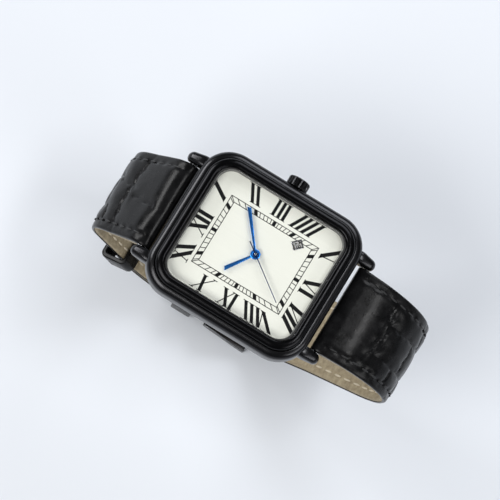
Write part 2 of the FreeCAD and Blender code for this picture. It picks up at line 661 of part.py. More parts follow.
up = vector(0, 0, 1)
centre = vector(0, 0, 0)
third_axis, middle_axis = polar(third_place, third_turn), polar(middle_place, 90)
rotor_axis = polar(rotor_place, 90)
minute_axis, date_axis = polar(minute_place, minute_turn), polar(date_place, date_turn)
bridge_foot = sheet.bridge_bottom + 0.05
plate_pivot = sheet.plate_bottom + 0.4
low_level, mid_level, high_level = sheet.low_gear_level, sheet.mid_gear_level, sheet.high_gear_level


def lifted(point, level):
    return vector(point.x, point.y, level)


def arbor(axis, start, end, radius=None):
    sides = 8 if radius is None else 16
    return small_rod(radius or sheet.arbor_radius, end - start, lifted(axis, start), up, sides)


cap_top = sheet.second_hand_level + sheet.hand_thickness + 0.1
wheel("second_wheel", [
    arbor(centre, bridge_foot, cap_top),
    gear(36, sheet.low_module, sheet.gear_thickness, lifted(centre, low_level), 90),
    gear(6, sheet.train_module, 0.4, lifted(centre, mid_level - 0.1), third_turn)])
wheel("third_wheel", [
    arbor(third_axis, bridge_foot, plate_pivot),
    gear(45, sheet.train_module, sheet.gear_thickness, lifted(third_axis, mid_level),
         mating_tooth(third_turn, 6, third_turn, 45)),
    gear(6, centre_module, 0.34, lifted(third_axis, high_level - 0.06), third_turn + 180)])
wheel("intermediate_wheel", [
    arbor(middle_axis, bridge_foot, plate_pivot),
    gear(30, sheet.rotor_module, sheet.gear_thickness, lifted(middle_axis, mid_level), 90),
    gear(6, sheet.low_module, 0.3, lifted(middle_axis, low_level - 0.05), mating_tooth(90, 36, 90, 6))])
wheel("rotor", [
    arbor(rotor_axis, bridge_foot, plate_pivot),
    gear(6, sheet.rotor_module, 0.35, lifted(rotor_axis, mid_level - 0.05), mating_tooth(90, 30, 90, 6)),
    arbor(rotor_axis, mid_level + 0.34, plate_pivot - 0.5, 0.85)])
tube_top = sheet.minute_hand_level + sheet.hand_thickness + 0.05
wheel("centre_wheel", [
    arbor(centre, high_level - 0.1, tube_top, sheet.tube_outer),
    gear(48, centre_module, sheet.gear_thickness, lifted(centre, high_level),
         mating_tooth(third_turn + 180, 6, third_turn + 180, 48)),
    gear(10, sheet.motion_module, sheet.thin_gear, lifted(centre, sheet.minute_gear_level), minute_turn)],
    arbor(centre, high_level - 1, tube_top + 1, sheet.tube_bore))
minute_tooth = mating_tooth(minute_turn, 10, minute_turn, 30)
wheel("minute_wheel", [
    gear(30, sheet.motion_module, sheet.thin_gear, lifted(minute_axis, sheet.minute_gear_level), minute_tooth),
    gear(6, hour_module, sheet.hour_gear_level + sheet.thin_gear - sheet.minute_gear_level,
         lifted(minute_axis, sheet.minute_gear_level), minute_turn + 180)],
    small_rod(sheet.arbor_radius + 2 * sheet.arbor_gap, 1.0, lifted(minute_axis, sheet.plate_floor), up))
hour_tooth = mating_tooth(minute_turn + 180, 6, minute_turn + 180, 24)
pipe_top = sheet.hour_hand_level + sheet.hand_thickness + 0.05
wheel("hour_wheel", [
    arbor(centre, sheet.hour_gear_level, pipe_top, sheet.pipe_outer),
    gear(24, hour_module, sheet.thin_gear, lifted(centre, sheet.hour_gear_level), hour_tooth)],
    arbor(centre, sheet.plate_floor, pipe_top + 1, sheet.tube_outer + sheet.pipe_gap))
date_post = 0.3
date_finger = Part.makeBox(0.5, 3.62, 0.13)
date_finger.translate(vector(-0.25, 0, 0))
date_finger.rotate(vector(0, 0, 0), up, date_turn - 90 + 120)
date_finger.translate(lifted(date_axis, sheet.date_seat + 0.05))
wheel("date_driving_wheel", [
    gear(48, hour_module, sheet.thin_gear, lifted(date_axis, sheet.hour_gear_level),
         mating_tooth(hour_tooth, 24, date_turn, 48)),
    arbor(date_axis, sheet.hour_gear_level, sheet.date_seat + 0.18, 0.7), date_finger],
    arbor(date_axis, sheet.plate_floor, sheet.dial_level, date_post + sheet.arbor_gap))

# Date disc: printed ring with 31 teeth inside
date_level = sheet.date_seat + 0.04
date_count = int(sheet.date_teeth)
inner = []
for index in range(date_count):
    for share, reach in ((0.25, sheet.date_inner), (0.5, sheet.date_inner - sheet.date_tooth), (0.75, sheet.date_inner)):
        inner.append(polar(reach, 360.0 * (index + share) / date_count, date_level))
date_ring = Part.Face(Part.Wire(Part.makeCircle(sheet.date_outer, lifted(centre, date_level))))
date_ring = date_ring.cut(Part.Face(Part.makePolygon(inner + inner[:1])))
free_shape("date_disc", date_ring.extrude(vector(0, 0, sheet.date_thickness)))

# Main plate: turned plate with a raised seat and rim for the date disc
plate = new_body("main_plate")
plate_profile = [("size.tube_outer + size.arbor_gap", "size.plate_bottom"), ("size.plate_radius", "size.plate_bottom"),
                 ("size.plate_radius", "size.dial_level"), ("size.rim_inner", "size.dial_level"),
                 ("size.rim_inner", "size.date_seat"), ("size.date_inner + 0.05", "size.date_seat"),
                 ("size.date_inner + 0.05", "size.plate_floor"), ("size.tube_outer + size.arbor_gap", "size.plate_floor")]
revolve(plate, "Revolution", "PlateTurned", plate_profile)
battery_well = new_sketch(plate, "BatteryWell", level="size.plate_bottom")
circle(battery_well, "size.battery_radius + size.battery_gap", "size.battery_x", "size.battery_y")
pocket(plate, "BatteryRecess", battery_well, "0.9")
lever_slot = new_sketch(plate, "LeverSlot", level="size.plate_bottom")
polygon(lever_slot, [("size.groove_place - 0.7", "-0.75"), ("size.groove_place + 1.75", "-0.75"),
                     ("size.groove_place + 1.75", "0.5"), ("size.groove_place - 0.7", "0.5")])
pocket(plate, "LeverOpening", lever_slot, "size.stem_level - size.plate_bottom")
stem_bore = new_sketch(plate, "StemHole", "YZ_Plane", "size.stem_inner_end - 0.4")
circle(stem_bore, "size.stem_radius + size.stem_gap", "0", "size.stem_level")
pocket(plate, "StemPassage", stem_bore, "size.plate_radius")
pivots = new_sketch(plate, "PivotHoles", level="size.plate_bottom")
for axis in (third_axis, middle_axis, rotor_axis):
    facet_circle(pivots, "size.arbor_radius + 2 * size.arbor_gap", "%.5f" % axis.x, "%.5f" % axis.y)
pocket(plate, "PivotBores", pivots, "0.5")
lever_reach = 3.2
lever_post = new_sketch(plate, "LeverPost", level="size.plate_bottom")
circle(lever_post, "0.4", "size.groove_place", "%.2f" % -lever_reach)
pad(plate, "LeverPivot", lever_post, "0.45", backwards=True)
posts = new_sketch(plate, "WheelPosts", level="size.plate_floor")
facet_circle(posts, "size.arbor_radius", "%.5f" % minute_axis.x, "%.5f" % minute_axis.y)
circle(posts, str(date_post), "%.5f" % date_axis.x, "%.5f" % date_axis.y)
pad(plate, "Posts", posts, "size.date_seat - size.plate_floor")

# Setting lever: flat lever with a post in the stem's groove
lever_level = sheet.plate_bottom - 0.33
lever_arm = Part.makeBox(1.1, lever_reach, 0.25, vector(sheet.groove_place - 0.55, -lever_reach, lever_level))
lever_arm = lever_arm.fuse(small_rod(0.9, 0.25, vector(sheet.groove_place, -lever_reach, lever_level), up, 12))
lever_arm = lever_arm.fuse(small_rod(0.55, 0.25, vector(sheet.groove_place, 0, lever_level), up))
lever_tail = Part.makeBox(0.8, 2.2, 0.25, vector(sheet.groove_place - 0.4, -lever_reach - 2.6, lever_level))
post_top = sheet.stem_level - sheet.groove_radius - 0.05
lever_pin = small_rod(0.26, post_top - lever_level, vector(sheet.groove_place, 0, lever_level), up)
lever = lever_arm.fuse(lever_tail).fuse(lever_pin)
lever = lever.cut(rod(0.43, 1, vector(sheet.groove_place, -lever_reach, lever_level - 0.3), up))
free_shape("setting_lever", lever.removeSplitter())

# Train bridge on three pillars, with its screws
pillar_spots = [(4.1, -2.0), (-3.9, 1.2), (3.3, 2.45)]
bridge = new_body("train_bridge")
outline = new_sketch(bridge, "BridgeOutline", level="size.bridge_bottom")
polygon(outline, [("-4.7", "0.4"), ("-1.0", "-4.0"), ("1.0", "-4.0"), ("4.9", "-2.9"), ("4.9", "-1.2"),
                  ("4.1", "3.2"), ("1.2", "6.6"), ("-1.2", "6.6"), ("-4.7", "2.0")])
pad(bridge, "BridgePlate", outline, "size.bridge_top - size.bridge_bottom")
pillars = new_sketch(bridge, "Pillars", level="size.bridge_top")
for x, y in pillar_spots:
    facet_circle(pillars, "size.pillar_radius", str(x), str(y), 12)
pad(bridge, "PillarPads", pillars, "size.plate_bottom - size.bridge_top")
pivots = new_sketch(bridge, "BridgePivots", level="size.bridge_bottom")
for axis in (centre, third_axis, middle_axis, rotor_axis):
    facet_circle(pivots, "size.arbor_radius + 2 * size.arbor_gap", "%.5f" % axis.x, "%.5f" % axis.y)
pocket(bridge, "BridgePivotBores", pivots, "size.bridge_top - size.bridge_bottom")
screw_bores = new_sketch(bridge, "BridgeScrewHoles", level="size.bridge_bottom")
for x, y in pillar_spots:
    facet_circle(screw_bores, "size.pillar_screw", str(x), str(y))
pocket(bridge, "BridgeScrewBores", screw_bores, "1.2")
bridge_screws = []
for index, (x, y) in enumerate(pillar_spots):
    head = prism("BridgeScrewHead%d" % index, 12, "size.pillar_radius", "0.25", str(x), str(y),
                    "size.bridge_bottom - 0.25")
    shank = prism("BridgeScrewShank%d" % index, 8, "size.pillar_screw - 0.01", "1.3", str(x), str(y),
                     "size.bridge_bottom - 0.2")
    bridge_screws.append(fuse("BridgeScrew%d" % index, head, shank))
screw_set = doc.addObject("Part::Compound", "BridgeScrews")
screw_set.Links = bridge_screws
keep("bridge_screws", screw_set)

# Stepping motor: stator, coil core and winding
stator = new_body("stator")
outline = new_sketch(stator, "StatorOutline", level="size.high_gear_level - 0.05")
polygon(outline, [("-5.5", "3.7"), ("5.5", "3.7"), ("5.5", "9.6"), ("3.9", "9.6"), ("3.9", "6.9"),
                  ("-3.9", "6.9"), ("-3.9", "9.6"), ("-5.5", "9.6")])
circle(outline, "1.1", "0", "%.5f" % rotor_axis.y)
pad(stator, "StatorPlate", outline, "0.25")
core_top = "size.high_gear_level - 0.05"
core = block("CoilCore", "11", "1", "0.45", "0", "9.1", core_top + " - 0.45")
keep("coil_core", core)
winding_block = block("WindingBlock", "7.2", "2.2", "1.2", "0", "9.1", core_top + " - 0.82")
winding_way = block("WindingWay", "8", "1.02", "0.47", "0", "9.1", core_top + " - 0.46")
keep("coil", cut("Winding", winding_block, winding_way))

# Battery, its clamp, the circuit board and the quartz can
battery = cylinder("Cell", "size.battery_radius", "size.battery_height", "size.battery_x", "size.battery_y",
                   "size.plate_bottom + 0.88 - size.battery_height")
keep("battery", battery)
clamp_level = "size.plate_bottom + 0.88 - size.battery_height - size.clamp_thickness"
clamp_strip = block("ClampStrip", "2.2", "7.4", "size.clamp_thickness", "size.battery_x", "size.battery_y + 0.6",
                    clamp_level)
clamp_leg = block("ClampLeg", "2.2", "0.3", "size.plate_bottom - (%s)" % clamp_level, "size.battery_x",
                  "size.battery_y + size.battery_radius + 0.55", clamp_level)
keep("battery_clamp", fuse("Clamp", clamp_strip, clamp_leg))
board = new_body("circuit_board")
outline = new_sketch(board, "BoardOutline", level="size.plate_bottom - 0.35")
polygon(outline, [("1.6", "-7.2"), ("-2.6", "-8.0"), ("-2.6", "-10.4"), ("3.0", "-10.2"), ("6.6", "-8.6"),
                  ("6.6", "-6.6"), ("5.4", "-4.8")])
pad(board, "Board", outline, "0.35")
chip = new_sketch(board, "ChipOutline", level="size.plate_bottom - 0.35")
polygon(chip, [("3.4", "-8.4"), ("5.4", "-8.4"), ("5.4", "-7.0"), ("3.4", "-7.0")])
pad(board, "Chip", chip, "0.6", backwards=True)
free_shape("quartz_can", rod(0.7, 5.0, vector(-2.3, -9.1, sheet.plate_bottom - 0.35 - 0.7), axis_x))


# Hands: bar pointers that widen towards a slanted tip, on round hubs
def pointer(length, waist, width, tail, level, angle, hub, bore):
    start = -tail
    outline_points = [vector(-waist / 2, start), vector(waist / 2, start), vector(width / 2, length - width * 1.3),
                      vector(width * 0.05, length), vector(-width / 2, length - width * 0.6)]
    blade = Part.Face(Part.makePolygon(outline_points + outline_points[:1]))
    blade = blade.extrude(vector(0, 0, sheet.hand_thickness))
    shape = blade.fuse(small_rod(hub, sheet.hand_thickness, vector(0, 0, 0), up, 20))
    shape = shape.cut(small_rod(bore, 1, vector(0, 0, -0.3), up, 16))
    shape.rotate(vector(0, 0, 0), up, -angle)
    shape.translate(vector(0, 0, level))
    return shape.removeSplitter()


free_shape("hour_hand", pointer(sheet.hour_hand_length, sheet.hand_waist, sheet.hand_width, 0, sheet.hour_hand_level,
                                sheet.hour_hand_angle, sheet.hub_radius, sheet.pipe_outer))
free_shape("minute_hand", pointer(sheet.minute_hand_length, sheet.hand_waist, sheet.hand_width, 0,
                                  sheet.minute_hand_level, sheet.minute_hand_angle, sheet.hub_radius * 0.9,
                                  sheet.tube_outer))
free_shape("second_hand", pointer(sheet.second_hand_length, sheet.second_hand_width, sheet.second_hand_width,
                                  sheet.second_hand_tail, sheet.second_hand_level, sheet.second_hand_angle,
                                  sheet.cap_radius, sheet.arbor_radius))


# Strap routes: lines and arcs in the YZ plane, followed along the strap's outer face.
# A heading is the angle below the outward horizontal, so 90 points straight down.
class Route:
    def __init__(self, reach, level, heading, side):
        self.side = side
        self.legs = []
        self.length = 0.0
        self.end = (reach, level, heading)

    def straight(self, run):
        self.legs.append((self.length, run, self.end, None))
        self.length += run
        self.end = self.at(self.length)

    def bend(self, radius, heading):
        run = radius * math.radians(heading - self.end[2])
        self.legs.append((self.length, run, self.end, radius))
        self.length += run
        self.end = self.at(self.length)

    def at(self, distance):
        """Reach, level and heading at a distance along the route."""
        for begin, run, (reach, level, heading), radius in self.legs:
            if distance <= begin + run + 1e-9:
                break
        run = distance - begin
        first = math.radians(heading)
        if radius is None:
            return (reach + run * math.cos(first), level - run * math.sin(first), heading)
        last = first + run / radius
        return (reach + radius * (math.sin(last) - math.sin(first)),
                level - radius * (math.cos(first) - math.cos(last)), math.degrees(last))

    def marks(self, longest_turn=11.0, longest_run=14.0):
        """Distances for sections: each leg's ends and even steps between."""
        found = [0.0]
        for begin, run, _, radius in self.legs:
            steps = run / longest_run if radius is None else math.degrees(run / radius) / longest_turn
            count = max(1, math.ceil(steps - 1e-6))
            found += [begin + run * (index + 1) / count for index in range(count)]
        return found

    def point(self, distance, across, depth):
        """Point across the strap and at a depth below its outer face."""
        reach, level, heading = self.at(distance)
        turn = math.radians(heading)
        return vector(across, self.side * (reach - depth * math.sin(turn)), level - depth * math.cos(turn))


def between(distance, knots):
    """Straight-line value between (distance, value) pairs."""
    for (begin, first), (end, last) in zip(knots, knots[1:]):
        if distance <= end:
            share = max(0.0, (distance - begin) / (end - begin))
            return first + share * (last - first)
    return knots[-1][1]


width_knots = [(2.0, sheet.strap_lug_width / 2), (sheet.strap_bend_at, sheet.strap_bend_width / 2),
               (sheet.strap_buckle_at, sheet.strap_buckle_width / 2)]
thickness_knots = [(2.0, sheet.strap_lug_thickness), (sheet.strap_taper, sheet.strap_thickness)]
skin_knots = [(2.0, sheet.skin_lug), (sheet.strap_taper, sheet.skin_thin)]

short_route = Route(sheet.strap_end, sheet.short_level, sheet.short_slope, 1)
short_route.straight(sheet.short_start_run)
short_route.bend(sheet.short_knee, sheet.short_wall_slope)
short_route.straight(sheet.short_wall_run)
short_route.bend(sheet.short_side, sheet.short_return)
short_route.straight(sheet.short_return_run)
return_end = short_route.length
short_route.bend(sheet.heel_radius, 180.0)
heel_end = short_route.end
short_route.straight(heel_end[0] - sheet.short_flat_end)

tail_level = heel_end[1] - sheet.strap_gap - sheet.strap_thickness
tail_radius = sheet.heel_radius + sheet.strap_gap + sheet.strap_thickness
long_route = Route(sheet.strap_end, sheet.long_level, sheet.long_slope, -1)
long_route.straight(sheet.long_start_run)
long_route.bend(sheet.long_side, sheet.long_return)
return_turn = math.radians(sheet.long_return)
drop = sheet.heel_radius * (1 + math.cos(return_turn))
long_route.straight((long_route.end[1] - drop - tail_level) / math.sin(return_turn))
long_route.bend(sheet.heel_radius, 180.0)
flat_start = long_route.length
long_route.straight(long_route.end[0] + heel_end[0])
long_route.bend(tail_radius, 360.0 - sheet.short_return)
tail_start = long_route.length
long_route.straight(sheet.tail_run)


def place_on_flat(y):
    """Distance along the long strap of a place on its flat run below the watch."""
    return flat_start + long_route.at(flat_start)[0] + y


def section(route, distance, half_width, corners):
    points = [route.point(distance, half_width * side + inset, depth) for side, inset, depth in corners]
    return Part.makePolygon(points + points[:1])


def strap_layers(route, marks, insets, narrowing):
    """Outer leather and lining as two lofted solids along a route."""
    skins, linings = [], []
    for distance in marks:
        half = between(distance, width_knots) * narrowing(distance)
        thickness = between(distance, thickness_knots)
        skin = between(distance, skin_knots)
        top, bottom = insets(distance)
        low_side = thickness * (1 - bottom)
        middle_side = min(max(skin, thickness * top + 0.12), low_side - 0.12)
        high_side = thickness * top
        edge = high_side + (middle_side - high_side) * sheet.skin_edge
        skins.append(section(route, distance, half, [
            (-1, 0.0, middle_side), (-1, 0.0, edge), (-1, 0.9, high_side), (1, -0.9, high_side),
            (1, 0.0, edge), (1, 0.0, middle_side)]))
        inset = sheet.lining_inset
        linings.append(section(route, distance, half, [
            (-1, inset, low_side), (-1, inset, middle_side), (1, -inset, middle_side), (1, -inset, low_side)]))
    return Part.makeLoft(skins, True, True), Part.makeLoft(linings, True, True)


def rounded_end(length, thickness):
    """Shares of the thickness left off above and below, near a rounded end."""
    steps = [(0.0, 0.36), (0.18, 0.17), (0.5, 0.04), (1.0, 0.0)]
    knots = [(share * thickness / 2, value) for share, value in steps]

    def insets(distance):
        value = between(length - distance if length else distance, knots)
        return value, value
    return insets, [knot[0] for knot in knots[1:]]


root_insets, root_marks = rounded_end(0.0, sheet.strap_lug_thickness)
fold_insets, fold_marks = rounded_end(short_route.length, sheet.strap_thickness)


def short_insets(distance):
    return root_insets(distance) if distance < short_route.length / 2 else fold_insets(distance)


def full_width(distance):
    return 1.0


def tail_narrowing(distance):
    left = (long_route.length - distance) / sheet.tail_tip
    return 1.0 if left >= 1 else math.sqrt(max(0.0, 1 - (1 - left) ** 2)) * 0.86 + 0.14


def with_marks(marks, extra, smallest=0.25):
    found = sorted(marks + extra)
    kept = [found[0]]
    for mark in found[1:]:
        if mark - kept[-1] > smallest:
            kept.append(mark)
    return kept


short_marks = with_marks([mark for mark in short_route.marks() if mark < 0.01 or mark > 1.7],
                         root_marks + [short_route.length - mark for mark in fold_marks])
long_marks = with_marks([mark for mark in long_route.marks() if mark < 0.01 or mark > 2.5],
                        root_marks + [long_route.length - share * sheet.tail_tip for share in (0.03, 0.12, 0.3, 0.6, 1.0)])
short_skin, short_lining = strap_layers(short_route, short_marks, short_insets, full_width)
long_skin, long_lining = strap_layers(long_route, long_marks, root_insets, tail_narrowing)


def bar_channel(side):
    radius = sheet.bar_radius + sheet.channel_gap
    start = vector(-sheet.strap_lug_width, side * sheet.bar_reach, sheet.bar_level)
    return rod(radius, 2 * sheet.strap_lug_width, start, axis_x)


pin_level = heel_end[1] + sheet.strap_thickness / 2
pin_half = sheet.strap_buckle_width / 2 + sheet.arm_gap + sheet.arm_thickness
slot_half = sheet.tongue_width / 2 + sheet.tongue_slot_gap
pin_channel = rod(sheet.pin_radius + sheet.pin_gap, 4 * pin_half, vector(-2 * pin_half, sheet.pin_place, pin_level), axis_x)
tongue_slot = Part.makeBox(2 * slot_half, 4.2, 4.0, vector(-slot_half, sheet.pin_place - 2.4, pin_level - 2.0))
short_cuts = [bar_channel(1), pin_channel, tongue_slot]
free_shape("strap_short_leather", short_skin.cut(short_cuts))
free_shape("strap_short_lining", short_lining.cut(short_cuts))

# Buckle holes along the long strap; the one in use is drawn long by the tongue
hole_tools = [bar_channel(-1)]
used_hole = int(sheet.hole_count) // 2
hole_slots = []
for index in range(int(sheet.hole_count)):
    distance = place_on_flat(sheet.tongue_hole) + (index - used_hole) * sheet.hole_pitch
    outer, inner = long_route.point(distance, 0, -1.0), long_route.point(distance, 0, sheet.strap_thickness + 1.0)
    if index == used_hole:
        slot = Part.makeBox(2 * sheet.hole_radius + 0.4, sheet.used_hole_length, 5.0,
                            vector(-sheet.hole_radius - 0.2, sheet.tongue_hole - sheet.used_hole_length / 2,
                                   tail_level - 1.0))
        hole_tools.append(slot)
    else:
        hole_tools.append(small_rod(sheet.hole_radius, (inner - outer).Length, outer, inner - outer, 12))
free_shape("strap_long_leather", long_skin.cut(hole_tools))
free_shape("strap_long_lining", long_lining.cut(hole_tools))


# Spring bars: a barrel between the lugs with a thinner tip at each end
def spring_bar(name, side):
    y, z = side * sheet.bar_reach, sheet.bar_level
    half = sheet.lug_gap / 2
    barrel = rod(sheet.bar_radius, 2 * half - 0.2, vector(-half + 0.1, y, z), axis_x)
    tip_reach = half + sheet.bar_tip_length - 0.05
    tips = small_rod(sheet.bar_tip_radius - 0.02, 2 * tip_reach, vector(-tip_reach, y, z), axis_x)
    free_shape(name, barrel.fuse(tips).removeSplitter())


spring_bar("spring_bar_12", 1)
spring_bar("spring_bar_6", -1)

# Buckle: frame of two sloping arms and a front bar under the long strap
arm_inner = sheet.strap_buckle_width / 2 + sheet.arm_gap
arm_outer = arm_inner + sheet.arm_thickness
bar_top = tail_level - sheet.bar_clearance
bar_bottom = tail_level - sheet.keeper_gap - sheet.keeper_thickness
bar_back = sheet.front_bar_place + sheet.front_bar_width / 2
bar_front = sheet.front_bar_place - sheet.front_bar_width / 2
boss = sheet.pin_radius + 0.6
arm_points = [(sheet.pin_place + boss, pin_level - boss * 0.6), (sheet.pin_place + boss, pin_level + boss * 0.6),
              (sheet.pin_place + boss * 0.5, pin_level + boss), (sheet.pin_place - boss, pin_level + boss * 0.8),
              (bar_front, bar_top + 0.5), (bar_front, bar_bottom), (bar_back - 0.4, bar_bottom),
              (sheet.pin_place, pin_level - boss * 1.4)]
arm_face = Part.Face(Part.makePolygon([vector(-arm_outer, y, z) for y, z in arm_points + arm_points[:1]]))
frame_solid = arm_face.extrude(vector(2 * arm_outer, 0, 0))
inner_cut = Part.makeBox(2 * arm_inner, 40, 12, vector(-arm_inner, bar_back, bar_bottom - 2))
strap_way = Part.makeBox(2 * arm_inner, 40, 12, vector(-arm_inner, bar_front - 1, bar_top))
notch_half = sheet.tongue_width / 2 + 0.12
tongue_bottom = bar_bottom + 0.04
tongue_top_at_bar = tongue_bottom + sheet.tongue_thickness
tongue_notch = Part.makeBox(2 * notch_half, sheet.front_bar_width + 2, sheet.tongue_thickness + 0.1,
                            vector(-notch_half, bar_front - 1, bar_bottom - 0.02))
frame_solid = frame_solid.cut([inner_cut, strap_way, tongue_notch])
frame_solid = frame_solid.cut(rod(sheet.pin_radius, 4 * arm_outer, vector(-2 * arm_outer, sheet.pin_place, pin_level), axis_x))
free_shape("buckle_frame", frame_solid.removeSplitter())
free_shape("buckle_pin", rod(sheet.pin_radius, 2 * arm_outer - 0.1,
                             vector(-arm_outer + 0.05, sheet.pin_place, pin_level), axis_x))

# Tongue: ring on the pin, stem through the strap's hole, flat finger out to the front bar
ring_radius = sheet.strap_thickness / 2 - 0.05
hole_middle = sheet.tongue_hole
tongue_points = [(sheet.pin_place - 0.3, pin_level - ring_radius), (sheet.pin_place - ring_radius, pin_level + 0.2),
                 (hole_middle - 0.45, heel_end[1] + 0.1), (hole_middle - 0.62, tail_level - 0.05),
                 (bar_back + 0.6, tongue_top_at_bar), (bar_front - 0.5, tongue_top_at_bar - 0.05),
                 (bar_front - 0.9, tongue_bottom + 0.3), (bar_front - 0.5, tongue_bottom),
                 (hole_middle - 0.2, tongue_bottom), (hole_middle + 0.42, tail_level - 0.1),
                 (hole_middle + 0.55, heel_end[1] - 0.2)]
tongue_face = Part.Face(Part.makePolygon([vector(-sheet.tongue_width / 2, y, z) for y, z in tongue_points + tongue_points[:1]]))
tongue = tongue_face.extrude(vector(sheet.tongue_width, 0, 0))
tongue = tongue.fuse(rod(ring_radius, sheet.tongue_width, vector(-sheet.tongue_width / 2, sheet.pin_place, pin_level), axis_x))
tongue = tongue.cut(rod(sheet.pin_radius + sheet.pin_gap, 8, vector(-4, sheet.pin_place, pin_level), axis_x))
free_shape("buckle_tongue", tongue.removeSplitter())


# Keepers: leather loops round both strap ends
def keeper(name, width, place, along, outward):
    """Loop of a rounded band; along is the strap's direction, outward leaves the wrist."""
    inner_half = sheet.strap_buckle_width / 2 + sheet.keeper_gap
    if name == "keeper_loose":
        inner_half += 0.6
    outer_half = inner_half + sheet.keeper_thickness
    stack = 2 * sheet.strap_thickness + sheet.strap_gap
    low, high = -stack - sheet.keeper_gap, sheet.keeper_gap
    loops = []
    for half, bottom, top, radius in ((outer_half, low - sheet.keeper_thickness, high + sheet.keeper_thickness, 1.6),
                                      (inner_half, low, high, 0.5)):
        rectangle = Part.makeBox(2 * half, width, top - bottom, vector(-half, -width / 2, bottom))
        lengthwise = [edge for edge in rectangle.Edges if edge.BoundBox.YLength > width * 0.9]
        loops.append(rectangle.makeFillet(radius, lengthwise))
    shape = loops[0].cut(loops[1])
    matrix = FreeCAD.Matrix(1, 0, 0, 0, 0, along.y, outward.y, place.y, 0, along.z, outward.z, place.z)
    return free_shape(name, shape.transformGeometry(matrix))


flat_place = vector(0, sheet.keeper_place, tail_level)
keeper("keeper_fixed", sheet.keeper_width, flat_place, vector(0, 1, 0), vector(0, 0, -1))
loose_at = tail_start + sheet.loose_keeper_place
loose_place = long_route.point(loose_at, 0, 0)
loose_along = (long_route.point(loose_at + 1, 0, 0) - loose_place).normalize()
loose_outward = (long_route.point(loose_at, 0, -1) - loose_place).normalize()
keeper("keeper_loose", sheet.loose_keeper_width, loose_place, loose_along, loose_outward)

# Checks and export
doc.recompute()
for item in doc.Objects:
    if "Invalid" in item.State or "Error" in item.State:
        raise RuntimeError("%s failed: %s" % (item.Name, item.State))
triangles = 0
for name, item in sub_parts.items():
    shape = item.Shape
    if shape.isNull() or not shape.isValid() or not shape.Solids:
        raise RuntimeError("%s has no valid solid" % name)
    shape.exportStep("parts/%s.step" % name)
    box = shape.BoundBox
    print("%-22s %d solid %9.3f mm3  x %.2f..%.2f  y %.2f..%.2f  z %.2f..%.2f" % (
        name, len(shape.Solids), shape.Volume, box.XMin, box.XMax, box.YMin, box.YMax, box.ZMin, box.ZMax))
print("loose keeper slides along", loose_along, "strap lengths", short_route.length, long_route.length)
print("pin at y %.3f z %.3f, rest level %.3f" % (sheet.pin_place, pin_level, bar_bottom))
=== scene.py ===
import json
import math

import bpy
import numpy as np
from mathutils import Matrix, Vector

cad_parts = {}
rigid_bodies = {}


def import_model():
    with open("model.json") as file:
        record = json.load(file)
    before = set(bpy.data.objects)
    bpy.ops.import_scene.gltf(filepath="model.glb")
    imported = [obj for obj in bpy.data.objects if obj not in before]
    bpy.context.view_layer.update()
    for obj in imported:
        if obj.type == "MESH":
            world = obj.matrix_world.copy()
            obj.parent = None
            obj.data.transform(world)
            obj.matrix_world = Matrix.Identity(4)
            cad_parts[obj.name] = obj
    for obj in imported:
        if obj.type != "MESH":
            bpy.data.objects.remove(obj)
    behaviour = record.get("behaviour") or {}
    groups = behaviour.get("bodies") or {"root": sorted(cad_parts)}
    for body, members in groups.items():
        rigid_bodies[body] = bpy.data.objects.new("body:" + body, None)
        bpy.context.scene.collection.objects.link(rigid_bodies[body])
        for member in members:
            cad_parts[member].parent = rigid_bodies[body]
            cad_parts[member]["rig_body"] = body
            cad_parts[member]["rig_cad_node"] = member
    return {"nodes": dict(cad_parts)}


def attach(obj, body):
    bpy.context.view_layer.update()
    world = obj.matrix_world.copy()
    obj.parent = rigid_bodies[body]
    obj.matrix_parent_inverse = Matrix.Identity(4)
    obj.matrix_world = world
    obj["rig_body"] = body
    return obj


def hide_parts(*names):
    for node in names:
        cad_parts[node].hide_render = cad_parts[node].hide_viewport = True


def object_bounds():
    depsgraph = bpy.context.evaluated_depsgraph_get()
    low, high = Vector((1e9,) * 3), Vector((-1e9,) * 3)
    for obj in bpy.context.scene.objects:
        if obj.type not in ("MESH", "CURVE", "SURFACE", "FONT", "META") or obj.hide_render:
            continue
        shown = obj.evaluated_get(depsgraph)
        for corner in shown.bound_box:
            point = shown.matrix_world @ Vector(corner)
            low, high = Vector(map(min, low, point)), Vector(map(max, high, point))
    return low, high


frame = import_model()
cadLow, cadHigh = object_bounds()
mm = 0.001
nodes = frame["nodes"]
print("frame loaded:", len(nodes), "nodes")

# the welds are in metres; level is the least z of a level face's normal
limits = {"weld": 1e-7, "copyWeld": 2e-6, "level": 0.99, "tiny": 1e-9}


def objectMode():
    bpy.ops.object.mode_set(mode="OBJECT")


def editMode():
    bpy.ops.object.mode_set(mode="EDIT")


def deselectAll():
    if bpy.context.object and bpy.context.object.mode != "OBJECT":
        objectMode()
    bpy.ops.object.select_all(action="DESELECT")


def activate(*objs):
    deselectAll()
    for obj in objs:
        obj.select_set(True)
    bpy.context.view_layer.objects.active = objs[0]


def addObject(name, data):
    obj = bpy.data.objects.new(name, data)
    bpy.context.scene.collection.objects.link(obj)
    return obj


def settle(obj):
    activate(obj)
    bpy.ops.object.transform_apply(location=True, rotation=True, scale=True)


def pickFaces(obj, test):  # ends in edit mode with only the faces that pass the test
    activate(obj)
    editMode()
    bpy.ops.mesh.select_mode(type="FACE")
    bpy.ops.mesh.select_all(action="DESELECT")
    objectMode()
    for face in obj.data.polygons:
        face.select = bool(test(face.center / mm, face.normal))
    editMode()


def pickAll(obj):
    pickFaces(obj, lambda c, n: True)


def capFace(obj, up):  # the highest level face with up 1, the lowest with up -1
    level = max(up * face.center.z for face in obj.data.polygons if abs(face.normal.z) > limits["level"])
    pickFaces(obj, lambda c, n: abs(n.z) > limits["level"] and abs(up * c.z * mm - level) < limits["weld"])


def editAll(obj):
    activate(obj)
    editMode()
    bpy.ops.mesh.select_all(action="SELECT")


